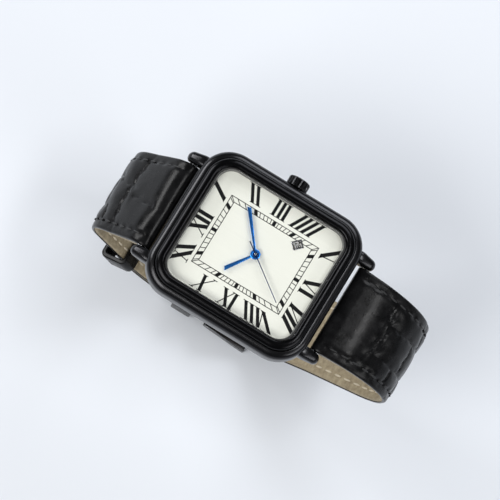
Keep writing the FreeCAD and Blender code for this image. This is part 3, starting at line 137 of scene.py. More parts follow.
def startShape(addPrimitive, name, size, place):  # size and place in mm
    deselectAll()
    addPrimitive(size=1, location=Vector(place) * mm)
    shape = bpy.context.object
    shape.name = name
    shape.scale = Vector(size) * mm
    settle(shape)
    return shape


def extrudeBy(x, y, z):
    bpy.ops.mesh.extrude_region_move(TRANSFORM_OT_translate={"value": (x * mm, y * mm, z * mm)})


def raisedPlate(name, look):  # a block with round corners, left in edit mode with its cap selected
    plate = startShape(bpy.ops.mesh.primitive_plane_add, name, (look["width"], look["length"], 1), (0, 0, look["low"]))
    editAll(plate)
    bpy.ops.mesh.bevel(offset=look["corner"] * mm, segments=look["cornerSteps"], affect="VERTICES")
    objectMode()
    pickAll(plate)
    extrudeBy(0, 0, look["high"] - look["low"])
    return plate


def stepCap(steps):  # walks the selected cap along a profile: pairs of inward and outward-normal moves
    for inward, rise in steps:
        if inward == 0:
            bpy.ops.mesh.extrude_region_shrink_fatten(TRANSFORM_OT_shrink_fatten={"value": rise * mm})
        else:
            bpy.ops.mesh.inset(thickness=inward * mm, depth=rise * mm)


def closeHoles(obj):  # an extruded plate leaves its underside open
    pickAll(obj)
    bpy.ops.mesh.fill_holes(sides=0)
    objectMode()


def openThrough(obj, foot, degrees):  # takes out the cap and the floor face and joins their edges
    bpy.ops.mesh.delete(type="FACE")
    objectMode()
    pickFaces(obj, lambda c, n: abs(n.z) > 0.9 and abs(c.z - foot) < 0.005)
    bpy.ops.mesh.delete(type="ONLY_FACE")
    bpy.ops.mesh.select_mode(type="EDGE")
    bpy.ops.mesh.select_all(action="DESELECT")
    bpy.ops.mesh.select_non_manifold()
    bpy.ops.mesh.bridge_edge_loops()
    objectMode()
    tidyNormals(obj, degrees)


def smoothBy(obj, degrees):
    activate(obj)
    bpy.ops.object.shade_smooth_by_angle(angle=math.radians(degrees))


def tidyNormals(obj, degrees):
    editAll(obj)
    bpy.ops.mesh.remove_doubles(threshold=limits["weld"])
    bpy.ops.mesh.normals_make_consistent(inside=False)
    objectMode()
    smoothBy(obj, degrees)


def applyModifier(obj, kind, **values):
    activate(obj)
    modifier = obj.modifiers.new(kind.title(), kind)
    for key, value in values.items():
        setattr(modifier, key, value)
    bpy.ops.object.modifier_apply(modifier=modifier.name)


def softenEdges(obj, width, segments=3, angle=30):
    applyModifier(obj, "BEVEL", width=width * mm, segments=segments, limit_method="ANGLE",
            angle_limit=math.radians(angle), harden_normals=False)


def joined(name, parts):
    activate(*parts)
    if len(parts) > 1:
        bpy.ops.object.join()
    parts[0].name = name
    return parts[0]


def copyOf(obj):
    twin = obj.copy()
    twin.data = obj.data.copy()
    bpy.context.scene.collection.objects.link(twin)
    return twin


def dress(obj, look):
    obj.data.materials.clear()
    obj.data.materials.append(looks[look])


def finishPiece(obj, body, look, replaced=None):
    dress(obj, look)
    settle(obj)
    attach(obj, body)
    if replaced:
        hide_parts(replaced)


# camera with the photograph's viewing direction; target and shifts in mm
view = {"target": (0.0, 0.0, 6.0), "right": (0.5125, -0.8528, 0.0996), "up": (0.8371, 0.5221, 0.1627),
        "back": (-0.1908, 0.0, 0.9816), "shiftRight": -1.07, "shiftUp": 1.18, "distance": 1100.0,
        "frameWidth": 111.0, "sensor": 36.0}
right, up, back = (Vector(view[key]).normalized() for key in ("right", "up", "back"))
aim = Vector(view["target"]) + right * view["shiftRight"] + up * view["shiftUp"]
cameraData = bpy.data.cameras.new("photoCamera")
cameraData.sensor_width = view["sensor"]
cameraData.lens = view["sensor"] * view["distance"] / view["frameWidth"]
cameraData.clip_start, cameraData.clip_end = 0.01, 20
camera = addObject("photoCamera", cameraData)
turn = Matrix((right, up, back)).transposed().to_4x4()
camera.matrix_world = Matrix.Translation((aim + back * view["distance"]) * mm) @ turn
bpy.context.scene.camera = camera


def setInputs(tree, node, inputs):  # links a socket, sets a constant
    for key, value in inputs.items():
        if hasattr(value, "is_output"):
            tree.links.new(value, node.inputs[key])
        else:
            node.inputs[key].default_value = value


def addNode(tree, kind, inputs=(), **values):
    node = tree.nodes.new(kind)
    for key, value in values.items():
        setattr(node, key, value)
    setInputs(tree, node, dict(inputs))
    return node


def newMaterial(name, inputs):
    material = bpy.data.materials.new(name)
    material.use_nodes = True
    tree = material.node_tree
    shader = tree.nodes["Principled BSDF"]
    setInputs(tree, shader, inputs)
    return material, tree, shader


floorLook = {"size": 2.4, "colour": (0.74, 0.77, 0.82, 1.0), "roughness": 0.55}
deselectAll()
bpy.ops.mesh.primitive_plane_add(size=floorLook["size"], location=(0, 0, cadLow.z))
floor = bpy.context.object
floor.name = "floor"
floorMaterial, _, _ = newMaterial("paleFloor", {"Base Color": floorLook["colour"], "Roughness": floorLook["roughness"]})
floor.data.materials.append(floorMaterial)

# place in m, size in m, power in W, colour
softboxes = {
    "keySoftbox": ((-0.46, 0.30, 0.60), (0.50, 0.36), 3.9, (1.0, 0.99, 0.97)),
    "sideSoftbox": ((0.58, -0.08, 0.40), (0.45, 0.26), 1.8, (0.95, 0.97, 1.0)),
    "lowSoftbox": ((-0.18, -0.60, 0.34), (0.50, 0.20), 1.3, (1.0, 1.0, 1.0)),
    "strapSoftbox": ((0.13, 0.62, 0.26), (0.42, 0.22), 2.6, (1.0, 1.0, 1.0)),
    "topSoftbox": ((0.13, -0.36, 0.76), (0.34, 0.14), 1.6, (1.0, 1.0, 1.0)),
}
studioLook = {"aimAt": (0, 0, -0.01), "colour": (0.9, 0.94, 1.0, 1), "strength": 0.16}

for name, (place, size, power, colour) in softboxes.items():
    data = bpy.data.lights.new(name, "AREA")
    data.shape, data.size, data.size_y = "RECTANGLE", size[0], size[1]
    data.energy, data.color = power, colour
    lamp = addObject(name, data)
    lamp.location = place
    lamp.rotation_euler = (Vector(studioLook["aimAt"]) - Vector(place)).to_track_quat("-Z", "Y").to_euler()
world = bpy.data.worlds.new("studio")
bpy.context.scene.world = world
world.use_nodes = True
setInputs(world.node_tree, world.node_tree.nodes["Background"],
        {"Color": studioLook["colour"], "Strength": studioLook["strength"]})
bpy.context.scene.view_settings.view_transform = "Standard"
print("camera, floor and light ready")


# effects that several materials share, as node groups
def newGroup(name, inputs):
    group = bpy.data.node_groups.new(name, "ShaderNodeTree")
    for socket, value in inputs.items():
        kind = "NodeSocketVector" if isinstance(value, tuple) else "NodeSocketFloat"
        group.interface.new_socket(socket, in_out="INPUT", socket_type=kind).default_value = value
    return group, addNode(group, "NodeGroupInput").outputs


def closeGroup(group, outputs):
    for socket in outputs:
        group.interface.new_socket(socket, in_out="OUTPUT", socket_type="NodeSocketFloat")
    addNode(group, "NodeGroupOutput", outputs)
    return group


def objectPlace(tree, scale=(1, 1, 1), rotation=(0, 0, 0)):
    place = addNode(tree, "ShaderNodeTexCoord").outputs["Object"]
    return addNode(tree, "ShaderNodeMapping", {"Vector": place, "Scale": scale, "Rotation": rotation}).outputs[0]


def noise(tree, vector, scale, detail, roughness=0.5):
    return addNode(tree, "ShaderNodeTexNoise", {"Vector": vector, "Scale": scale, "Detail": detail,
            "Roughness": roughness}).outputs[0]


def calculated(tree, operation, *values):
    return addNode(tree, "ShaderNodeMath", enumerate(values), operation=operation).outputs[0]


def makeHandlingMarks():  # faint smudges as a roughness, hairlines as a height
    group, entry = newGroup("handlingMarks", {"Smudge": 0.06, "Base Roughness": 0.25})
    cloud = calculated(group, "SUBTRACT", noise(group, objectPlace(group), 220.0, 4.0), 0.5)
    amount = calculated(group, "MULTIPLY", cloud, entry["Smudge"])
    hair = noise(group, objectPlace(group, (1, 14, 1), (0, 0, 0.7)), 700.0, 2.0)
    return closeGroup(group, {"Roughness": calculated(group, "ADD", amount, entry["Base Roughness"]), "Height": hair})


def makeBrushing():  # fine parallel lines along one axis
    group, entry = newGroup("brushing", {"Lines": 900.0, "Stretch": (1, 0.02, 1)})
    place = addNode(group, "ShaderNodeTexCoord").outputs["Object"]
    stretched = addNode(group, "ShaderNodeVectorMath", {0: place, 1: entry["Stretch"]}, operation="MULTIPLY")
    lines = noise(group, stretched.outputs[0], entry["Lines"], 3.0)
    shade = addNode(group, "ShaderNodeMapRange", {"Value": lines, "To Min": 0.88, "To Max": 1.08})
    return closeGroup(group, {"Height": lines, "Shade": shade.outputs[0]})


def makeLeatherGrain():  # pores and fine wrinkles of a finished hide
    group, entry = newGroup("leatherGrain", {"Grain Scale": 2600.0, "Wrinkle Scale": 500.0})
    place = objectPlace(group)
    cells = addNode(group, "ShaderNodeTexVoronoi", {"Vector": place, "Scale": entry["Grain Scale"]}, feature="F1")
    wrinkles = noise(group, place, entry["Wrinkle Scale"], 6.0, 0.62)
    low = calculated(group, "MULTIPLY", wrinkles, 0.75)
    high = calculated(group, "MULTIPLY_ADD", cells.outputs["Distance"], 0.25, low)
    return closeGroup(group, {"Height": high, "Mask": wrinkles})


marksGroup, brushingGroup, grainGroup = makeHandlingMarks(), makeBrushing(), makeLeatherGrain()


def placeGroup(tree, group, inputs):
    return addNode(tree, "ShaderNodeGroup", inputs, node_tree=group).outputs


def marksOn(tree, smudge, roughness):
    return placeGroup(tree, marksGroup, {"Smudge": smudge, "Base Roughness": roughness})


def shaded(tree, colour, shade):
    return addNode(tree, "ShaderNodeMix", {0: 1.0, 6: (*colour, 1), 7: shade}, data_type="RGBA",
            blend_type="MULTIPLY").outputs[2]


def bump(tree, height, strength, distance):
    return addNode(tree, "ShaderNodeBump", {"Height": height, "Strength": strength, "Distance": distance}).outputs[0]


def polishedMetal(name, colour, roughness, smudge=0.06, metallic=1.0, gloss=0.5):
    material, tree, shader = newMaterial(name, {"Base Color": (*colour, 1), "Metallic": metallic,
            "Specular IOR Level": gloss})
    marks = marksOn(tree, smudge, roughness)
    setInputs(tree, shader, {"Roughness": marks["Roughness"], "Normal": bump(tree, marks["Height"], 0.02, 0.00002)})
    return material


def plainPlastic(name, colour, roughness, smudge=0.1, gloss=0.5):
    return polishedMetal(name, colour, roughness, smudge, 0.0, gloss)


def brushedMetal(name, colour, roughness, stretch=(1, 0.02, 1), lines=900.0, strength=0.12):
    material, tree, shader = newMaterial(name, {"Metallic": 1.0})
    brushing = placeGroup(tree, brushingGroup, {"Lines": lines, "Stretch": stretch})
    setInputs(tree, shader, {"Base Color": shaded(tree, colour, brushing["Shade"]),
            "Roughness": marksOn(tree, 0.08, roughness)["Roughness"],
            "Normal": bump(tree, brushing["Height"], strength, 0.00003)})
    return material


def leatherMaterial(name, dark, light, roughness, grain, wrinkle, strength, gloss=0.5):
    material, tree, shader = newMaterial(name, {"Specular IOR Level": gloss})
    hide = placeGroup(tree, grainGroup, {"Grain Scale": grain, "Wrinkle Scale": wrinkle})
    tint = addNode(tree, "ShaderNodeValToRGB", {"Fac": hide["Mask"]})
    for stop, colour, position in zip(tint.color_ramp.elements, (dark, light), (0.35, 0.68)):
        stop.color, stop.position = (*colour, 1), position
    sheen = addNode(tree, "ShaderNodeMapRange", {"Value": hide["Mask"], "From Min": 0.3, "From Max": 0.7,
            "To Min": roughness - 0.06, "To Max": roughness + 0.08})
    setInputs(tree, shader, {"Base Color": tint.outputs[0], "Roughness": sheen.outputs[0],
            "Normal": bump(tree, hide["Height"], strength, 0.00012)})
    return material


def glassMaterial():  # clear to the camera, and open to every ray that carries lamp light to the dial
    material, tree, shader = newMaterial("mineralGlass", {
        "Base Color": (0.985, 0.995, 0.99, 1), "Roughness": 0.0, "IOR": 1.5, "Transmission Weight": 1.0})
    clear = addNode(tree, "ShaderNodeBsdfTransparent").outputs[0]
    rays = addNode(tree, "ShaderNodeLightPath").outputs
    soft = calculated(tree, "MAXIMUM", rays["Is Shadow Ray"], rays["Is Diffuse Ray"])
    passing = calculated(tree, "MAXIMUM", soft, rays["Is Glossy Ray"])
    blend = addNode(tree, "ShaderNodeMixShader", {0: passing, 1: shader.outputs[0], 2: clear})
    setInputs(tree, tree.nodes["Material Output"], {"Surface": blend.outputs[0]})
    return material


def silverDialMaterial():  # warm silver-white lacquer with a faint vertical sheen
    material, tree, shader = newMaterial("silverDial", {"Roughness": 0.42, "Specular IOR Level": 0.3})
    brushing = placeGroup(tree, brushingGroup, {"Lines": 2600.0, "Stretch": (1, 0.015, 1)})
    tint = addNode(tree, "ShaderNodeMapRange", {"Value": brushing["Height"], "From Min": 0.3, "From Max": 0.7,
            "To Min": 0.97, "To Max": 1.0})
    setInputs(tree, shader, {"Base Color": shaded(tree, (0.79, 0.795, 0.72), tint.outputs[0]),
            "Normal": bump(tree, brushing["Height"], 0.04, 0.00002)})
    return material


looks = {
    "blackCase": polishedMetal("blackPlatedCase", (0.034, 0.034, 0.036), 0.25, 0.06),
    "blackBezel": polishedMetal("blackPlatedBezel", (0.014, 0.014, 0.015), 0.24, 0.05),
    "steel": brushedMetal("brushedSteel", (0.5, 0.5, 0.51), 0.3),
    "backSteel": brushedMetal("brushedBack", (0.16, 0.16, 0.17), 0.3, (0.03, 1, 1), 1400.0, 0.2),
    "brass": brushedMetal("movementBrass", (0.72, 0.56, 0.28), 0.32),
    "copper": brushedMetal("windingCopper", (0.62, 0.25, 0.1), 0.35, (1, 0.01, 0.01), 2400.0, 0.5),
    "magnet": polishedMetal("rotorMagnet", (0.2, 0.2, 0.21), 0.4),
    "rehaut": plainPlastic("greyFlange", (0.16, 0.16, 0.155), 0.5, 0.08, 0.2),
    "darkBlue": polishedMetal("darkBluedSteel", (0.004, 0.018, 0.1), 0.35, 0.05),
    "ink": plainPlastic("dialInk", (0.003, 0.003, 0.0035), 0.6, 0.05, 0.12),
    "blue": polishedMetal("bluedSteel", (0.03, 0.3, 0.95), 0.26, 0.05),
    "pin": polishedMetal("polishedPin", (0.75, 0.78, 0.82), 0.12),
    "windowFrame": polishedMetal("windowFrame", (0.42, 0.42, 0.43), 0.22),
    "dateCard": plainPlastic("dateCard", (0.85, 0.85, 0.83), 0.5),
    "board": plainPlastic("circuitLacquer", (0.03, 0.2, 0.09), 0.3),
    "holder": plainPlastic("holderPlastic", (0.75, 0.74, 0.7), 0.5),
    "rubber": plainPlastic("sealRubber", (0.02, 0.02, 0.02), 0.7),
    "leather": leatherMaterial("blackEmbossedLeather", (0.003, 0.003, 0.0032), (0.008, 0.008, 0.0085), 0.24,
        2600.0, 380.0, 0.22, 0.15),
    "lining": leatherMaterial("beigeLining", (0.25, 0.2, 0.125), (0.41, 0.345, 0.23), 0.7, 3600.0, 900.0, 0.4),
    "blackThread": plainPlastic("blackThread", (0.012, 0.012, 0.013), 0.55),
    "beigeThread": plainPlastic("beigeThread", (0.6, 0.53, 0.4), 0.65),
    "glass": glassMaterial(),
    "dial": silverDialMaterial(),
}
print("materials ready:", len(looks))

# width, length, corner and levels in mm; profiles are pairs of inward and rising moves
caseLook = {"width": 36.4, "length": 41.0, "corner": 7.5, "cornerSteps": 14, "low": 2.0, "high": 5.3,
        "shoulder": [(0.1, 0.5), (0.22, 0.45), (0.36, 0.38), (0.44, 0.27), (0.40, 0.12), (0.1, 0.02)],
        "land": [(0.22, -0.12), (0.35, 0.0)], "cavityInset": 1.41, "cavityDepth": 5.6,
        "belly": [(0.1, 0.5), (0.25, 0.45), (0.4, 0.4), (0.45, 0.25)], "backSeat": [(0.8, 0.02), (0, -0.68)]}


def buildCase():
    case = raisedPlate("caseMiddle", caseLook)
    stepCap(caseLook["shoulder"] + caseLook["land"] + [(caseLook["cavityInset"], 0.0), (0, -caseLook["cavityDepth"])])
    objectMode()
    closeHoles(case)
    tidyNormals(case, 35)
    capFace(case, -1)
    stepCap(caseLook["belly"] + caseLook["backSeat"])
    objectMode()
    tidyNormals(case, 40)
    return case


hornLook = {"gap": 22.0, "width": 2.9, "root": 15.6, "stub": 2.0, "bend": 20.6, "reach": 24.3, "top": 5.3,
        "tipTop": 3.5, "bottom": 0.7, "tipBottom": 0.8, "tipWidth": 0.82, "tipIn": 0.15, "round": 1.1,
        "roundSteps": 7}


def buildHorn(side, end):
    half = hornLook["gap"] / 2 + hornLook["width"] / 2
    height = hornLook["top"] - hornLook["bottom"]
    horn = startShape(bpy.ops.mesh.primitive_cube_add, "horn", (hornLook["width"], hornLook["stub"], height), (
        side * half, end * (hornLook["root"] + hornLook["stub"] / 2), hornLook["bottom"] + height / 2))
    pickFaces(horn, lambda c, n: n.y * end > 0.9)
    for reach in (hornLook["bend"] - hornLook["root"] - hornLook["stub"], hornLook["reach"] - hornLook["bend"]):
        extrudeBy(0, end * reach, 0)
    tipHeight = hornLook["tipTop"] - hornLook["tipBottom"]
    bpy.ops.transform.resize(value=(hornLook["tipWidth"], 1, tipHeight / height))
    lower = (hornLook["tipTop"] + hornLook["tipBottom"]) / 2 - (hornLook["top"] + hornLook["bottom"]) / 2
    bpy.ops.transform.translate(value=(-side * hornLook["tipIn"] * mm, 0, lower * mm))
    objectMode()
    softenEdges(horn, hornLook["round"], hornLook["roundSteps"], 12)
    smoothBy(horn, 50)
    return horn


case = buildCase()
horns = [buildHorn(side, end) for side in (-1, 1) for end in (-1, 1)]
case = joined("caseMiddle", [case, *horns])
finishPiece(case, "watch_case", "blackCase", "case_middle")

bezelLook = {"width": 32.9, "length": 37.5, "corner": 6.0, "cornerSteps": 20, "low": 7.05, "high": 7.45,
        "dome": [(0.03, 0.17), (0.08, 0.19), (0.14, 0.19), (0.2, 0.17), (0.24, 0.14), (0.26, 0.11), (0.26, 0.07),
        (0.24, 0.03), (0.21, -0.02), (0.18, -0.07), (0.15, -0.12), (0.13, -0.16), (0.11, -0.18),
        (0.09, -0.18)],
        "openingWall": 1.0, "stretch": 16.2 / 16.43}


def buildBezel():
    bezel = raisedPlate("bezelRing", bezelLook)
    stepCap(bezelLook["dome"])
    bpy.ops.transform.resize(value=(1, bezelLook["stretch"], 1))
    stepCap([(0, -bezelLook["openingWall"])])
    openThrough(bezel, bezelLook["low"], 40)
    return bezel


finishPiece(buildBezel(), "watch_case", "blackBezel", "bezel")

glassLook = {"width": 27.98, "length": 32.12, "corner": 3.66, "cornerSteps": 20, "low": 7.42, "high": 8.22,
        "edge": 0.05}


def buildGlass():
    glass = raisedPlate("crystalGlass", glassLook)
    objectMode()
    closeHoles(glass)
    softenEdges(glass, glassLook["edge"], 2, 60)
    tidyNormals(glass, 12)
    return glass


finishPiece(buildGlass(), "watch_case", "glass", "crystal")
print("case, horns, bezel and glass ready")


# dial printing: each stroke is a filled curve made into a mesh
dialTop = 6.0
inkLook = {"rise": 0.012, "thick": 0.88, "sideShare": 0.83, "thin": 0.22, "serif": 0.17, "serifReach": 0.66,
        "thinReach": 0.8, "serifLift": 0.002, "leastSlant": 0.3}


def strokeOutline(start, end, width, level=None):  # a bar; level cuts its ends along x or y instead of square
    p, q = Vector(start), Vector(end)
    along = (q - p).normalized()
    across = Vector((-along.y, along.x))
    if level == "x":
        across = Vector((1 / max(abs(along.y), inkLook["leastSlant"]), 0))
    elif level == "y":
        across = Vector((0, 1 / max(abs(along.x), inkLook["leastSlant"])))
    half = across * width / 2
    return [p - half, p + half, q + half, q - half]


def inkShape(name, outlines, z):
    strokes = []
    for outline in outlines:
        data = bpy.data.curves.new(name, "CURVE")
        data.dimensions, data.fill_mode = "2D", "BOTH"
        data.extrude = inkLook["rise"] * mm / 2
        spline = data.splines.new("POLY")
        spline.points.add(len(outline) - 1)
        for point, corner in zip(spline.points, outline):
            point.co = (corner[0] * mm, corner[1] * mm, 0, 1)
        spline.use_cyclic_u = True
        strokes.append(addObject(name, data))
    activate(*strokes)
    bpy.ops.object.convert(target="MESH")
    art = joined(name, strokes)
    tidyNormals(art, 20)
    art.location = (0, 0, z * mm + inkLook["rise"] * mm / 2)
    finishPiece(art, "watch_case", "ink")


# strokes of each numeral, from x, y to x, y in mm, thick where nothing else is said
numeralStrokes = {
    "XII": [(-0.3, 12.2, -1.9, 15.8), (-2.5, 12.2, -0.3, 15.8, "thin"), (0.6, 12.2, 0.6, 15.8),
        (1.95, 12.2, 1.95, 15.8)],
    "I": [(7.0, 12.2, 9.3, 15.8)],
    "II": [(9.7, 6.6, 13.6, 8.7), (9.7, 5.2, 13.6, 7.2)],
    "III": [(9.7, 1.4, 13.6, 1.4), (9.7, 0.1, 13.6, 0.1), (9.7, -1.1, 13.6, -1.1)],
    "IIII": [(9.7, -3.3, 13.6, -5.4), (9.7, -4.7, 13.6, -6.8), (9.7, -6.1, 13.6, -8.3),
        (9.7, -7.6, 13.6, -9.8)],
    "V": [(7.4, -12.4, 10.4, -15.9), (7.5, -12.4, 7.9, -15.9, "thin")],
    "VI": [(-1.45, -12.3, -1.45, -15.9), (0.5, -12.4, 1.8, -15.9),
        (0.45, -12.4, -0.55, -15.9, "thin")],
    "VII": [(-5.4, -12.4, -6.1, -15.9), (-5.35, -12.4, -8.2, -15.9, "thin"),
        (-7.0, -12.3, -9.1, -15.9), (-8.4, -12.3, -10.8, -15.9)],
    "VIII": [(-9.9, -3.6, -13.7, -5.7), (-9.9, -5.1, -13.7, -7.2),
        (-9.9, -6.6, -13.7, -8.8), (-10.0, -8.1, -13.7, -11.8),
        (-10.0, -8.0, -13.7, -9.1, "thin")],
    "IX": [(-9.8, -1.2, -13.6, -1.2), (-9.8, 1.6, -13.6, -0.2), (-9.8, -0.6, -13.6, 1.8, "thin")],
    "X": [(-9.8, 6.95, -13.5, 6.55), (-9.7, 4.5, -13.5, 8.6, "thin")],
    "XI": [(-7.0, 12.2, -10.2, 15.7), (-9.2, 12.2, -8.6, 15.7, "thin"), (-5.6, 12.2, -7.6, 15.8)],
}


def numeralOutlines():  # the strokes and the short serifs across both ends of each
    bars, serifs = [], []
    for x1, y1, x2, y2, *thin in (stroke for numeral in numeralStrokes.values() for stroke in numeral):
        level = "x" if abs(y1) > abs(x1) else "y"
        width, reach = inkLook["thick"] * (inkLook["sideShare"] if level == "y" else 1), inkLook["serifReach"]
        if thin:
            width, reach = inkLook["thin"], reach * inkLook["thinReach"]
        bars.append(strokeOutline((x1, y1), (x2, y2), width, level))
        side = Vector((reach, 0)) if level == "x" else Vector((0, reach))
        for spot in (Vector((x1, y1)), Vector((x2, y2))):
            serifs.append(strokeOutline(spot - side, spot + side, inkLook["serif"]))
    return bars, serifs


bars, serifs = numeralOutlines()
inkShape("dialNumerals", bars, dialTop)
inkShape("dialSerifs", serifs, dialTop + inkLook["serifLift"])

trackLook = {"outer": (8.75, 11.31), "inner": (7.65, 10.1), "line": 0.17, "block": 0.8}


def frameEdges(half):
    x, y = half
    long = x + trackLook["line"] / 2
    ends = [((-long, side * y), (long, side * y)) for side in (-1, 1)]
    sides = [((side * x, -y), (side * x, y)) for side in (-1, 1)]
    return [strokeOutline(start, end, trackLook["line"]) for start, end in ends + sides]


def rayReach(angle, half):  # where a ray from the centre leaves the frame, clockwise from twelve
    dx, dy = math.sin(angle), math.cos(angle)
    toSide, toEnd = half[0] / max(abs(dx), limits["tiny"]), half[1] / max(abs(dy), limits["tiny"])
    scale = min(toSide, toEnd)
    return Vector((dx * scale, dy * scale)), "y" if toSide < toEnd else "x"


def trackOutlines():
    inner, outer = trackLook["inner"], trackLook["outer"]
    outlines = frameEdges(outer) + frameEdges(inner)
    for minute in range(60):
        near, level = rayReach(math.radians(6 * minute), inner)
        far, _ = rayReach(math.radians(6 * minute), outer)
        outlines.append(strokeOutline(near, far, trackLook["line" if minute % 5 else "block"], level))
    for sx in (-1, 1):
        for sy in (-1, 1):
            outlines.append(strokeOutline((sx * inner[0], sy * inner[1]), (sx * outer[0], sy * outer[1]),
                    trackLook["line"]))
    return outlines


inkShape("minuteTrack", trackOutlines(), dialTop)

# date window: a bevelled frame round the hole
windowLook = {"reach": 9.72, "angle": -45.0, "radial": 2.44, "tangential": 2.04, "foot": 6.01, "rise": 0.08,
        "profile": [(0.05, 0.03), (0.22, -0.02), (0.05, -0.08), (0, -0.16)]}


def buildWindowFrame():
    rim = startShape(bpy.ops.mesh.primitive_plane_add, "dateWindowFrame",
            (windowLook["radial"], windowLook["tangential"], 1), (windowLook["reach"], 0, windowLook["foot"]))
    pickAll(rim)
    extrudeBy(0, 0, windowLook["rise"])
    stepCap(windowLook["profile"])
    openThrough(rim, windowLook["foot"], 20)
    rim.data.transform(Matrix.Rotation(math.radians(windowLook["angle"]), 4, "Z"))
    return rim


finishPiece(buildWindowFrame(), "watch_case", "windowFrame")

dateLook = {"reach": 9.85, "size": 1.45, "level": 5.31, "days": 31, "shown": 28, "thick": 0.004, "bold": 0.025,
        "curveSteps": 4}


def buildDateNumbers():
    numbers = []
    for day in range(1, dateLook["days"] + 1):
        deselectAll()
        angle = math.radians(windowLook["angle"] + 360 / dateLook["days"] * (day - dateLook["shown"]))
        bpy.ops.object.text_add(location=(dateLook["reach"] * math.cos(angle) * mm,
                dateLook["reach"] * math.sin(angle) * mm, dateLook["level"] * mm),
                rotation=(0, 0, angle - math.pi / 2))
        text = bpy.context.object
        text.data.body = str(day)
        text.data.align_x, text.data.align_y = "CENTER", "CENTER"
        text.data.size = dateLook["size"] * mm
        text.data.extrude = dateLook["thick"] * mm
        text.data.offset = dateLook["bold"] * mm
        text.data.resolution_u = dateLook["curveSteps"]
        bpy.ops.object.convert(target="MESH")
        numbers.append(bpy.context.object)
    card = joined("dateNumbers", numbers)
    tidyNormals(card, 20)
    return card


finishPiece(buildDateNumbers(), "date_disc", "ink")
print("dial printing ready")


# clock angles are in degrees from twelve; slant is how far the left corner of the tip runs ahead, in widths
handLook = {
    "thickness": 0.15, "edge": 0.035, "hubHeight": 0.2, "hubEdge": 0.03, "pinRadius": 0.3, "pinLevel": 7.16,
    "pinHeight": 0.12,
    "hour": {"length": 8.5, "waist": 0.5, "width": 0.92, "tail": 0, "level": 6.35, "angle": 304.3, "slant": 0.35,
        "hub": 1.15, "recess": 0.05},
    "minute": {"length": 11.5, "waist": 0.46, "width": 0.86, "tail": 0, "level": 6.65, "angle": 51.6, "slant": 0.4,
        "hub": 1.1, "recess": 0.05},
    "second": {"length": 12.0, "waist": 0.24, "width": 0.18, "tail": 3.2, "level": 6.95, "angle": 216.0,
        "slant": 0.0, "hub": 0.5, "recess": 0.0},
}


def topOf(obj):
    obj.update_from_editmode()
    return max(vertex.co.y for vertex in obj.data.vertices)


def selectEdges(obj, test):
    objectMode()
    for item in (*obj.data.vertices, *obj.data.edges, *obj.data.polygons):
        item.select = False
    for edge in obj.data.edges:
        a, b = (obj.data.vertices[index].co for index in edge.vertices)
        if test(a, b):
            edge.select = True
            for index in edge.vertices:
                obj.data.vertices[index].select = True
    editMode()


def buildBlade(name, look):  # a flat bar that widens to a slanted tip, laid at its clock angle
    width, waist = look["width"], look["waist"]
    blade = startShape(bpy.ops.mesh.primitive_plane_add, name, (waist, 1, 1), (0, 0.5, look["level"]))
    editMode()
    bpy.ops.mesh.select_mode(type="EDGE")
    middle = 1 + (width / waist - 1) * 0.45
    for reach, grow in ((look["length"] * 0.45 - 1, middle),
            (look["length"] * 0.55 - width * 1.1, width / waist / middle)):
        selectEdges(blade, lambda a, b: abs(a.y - b.y) < 1e-6 and a.y > topOf(blade) - 1e-6)
        bpy.ops.mesh.extrude_edges_move(TRANSFORM_OT_translate={"value": (0, reach * mm, 0)})
        bpy.ops.transform.resize(value=(grow, 1, 1))
    objectMode()
    highest = max(vertex.co.y for vertex in blade.data.vertices)
    for vertex in blade.data.vertices:
        if vertex.co.y > highest - 1e-6:
            vertex.co.y += (width * look["slant"] if vertex.co.x < 0 else -width * 0.1) * mm
        if vertex.co.y < 1e-6:
            vertex.co.y -= look["tail"] * mm
    applyModifier(blade, "SOLIDIFY", thickness=handLook["thickness"] * mm, offset=1)
    softenEdges(blade, handLook["edge"], 2)
    tidyNormals(blade, 30)
    blade.data.transform(Matrix.Rotation(-math.radians(look["angle"]), 4, "Z"))
    return blade


def buildHub(name, radius, level, height, recess):  # round boss with a stepped top
    deselectAll()
    bpy.ops.mesh.primitive_cylinder_add(vertices=48, radius=radius * mm, depth=height * mm,
            location=(0, 0, (level + height / 2) * mm))
    hub = bpy.context.object
    hub.name = name
    settle(hub)
    capFace(hub, 1)
    stepCap([(radius * 0.12, height * 0.12), (radius * 0.2, 0.0), (0.03, -recess)])
    objectMode()
    softenEdges(hub, handLook["hubEdge"], 2)
    tidyNormals(hub, 35)
    return hub


for hand, body, paint in (("hour", "hours", "blue"), ("minute", "minutes", "blue"), ("second", "seconds", "darkBlue")):
    look = handLook[hand]
    blade = buildBlade(hand + "Blade", look)
    hub = buildHub(hand + "Hub", look["hub"], look["level"], handLook["hubHeight"], look["recess"])
    finishPiece(joined(hand + "Hand", [blade, hub]), body, paint, hand + "_hand")
finishPiece(buildHub("handPin", handLook["pinRadius"], handLook["pinLevel"], handLook["pinHeight"], 0.0),
        "seconds", "pin")
print("hands ready")

# profile: edges off a flute's middle and the share of its depth; foot and dome: rise and scale of the cap
crownLook = {"start": 18.32, "length": 1.84, "sink": 0.05, "radius": 2.55, "level": 3.95, "flutes": 18, "depth": 0.34,
        "profile": [(0, 1.0), (1, 0.8), (2, 0.3)], "foot": [(0.12, 0.94)],
        "dome": [(0.14, 0.95), (0.12, 0.9), (0.1, 0.82), (0.07, 0.7), (0.03, 0.5)]}


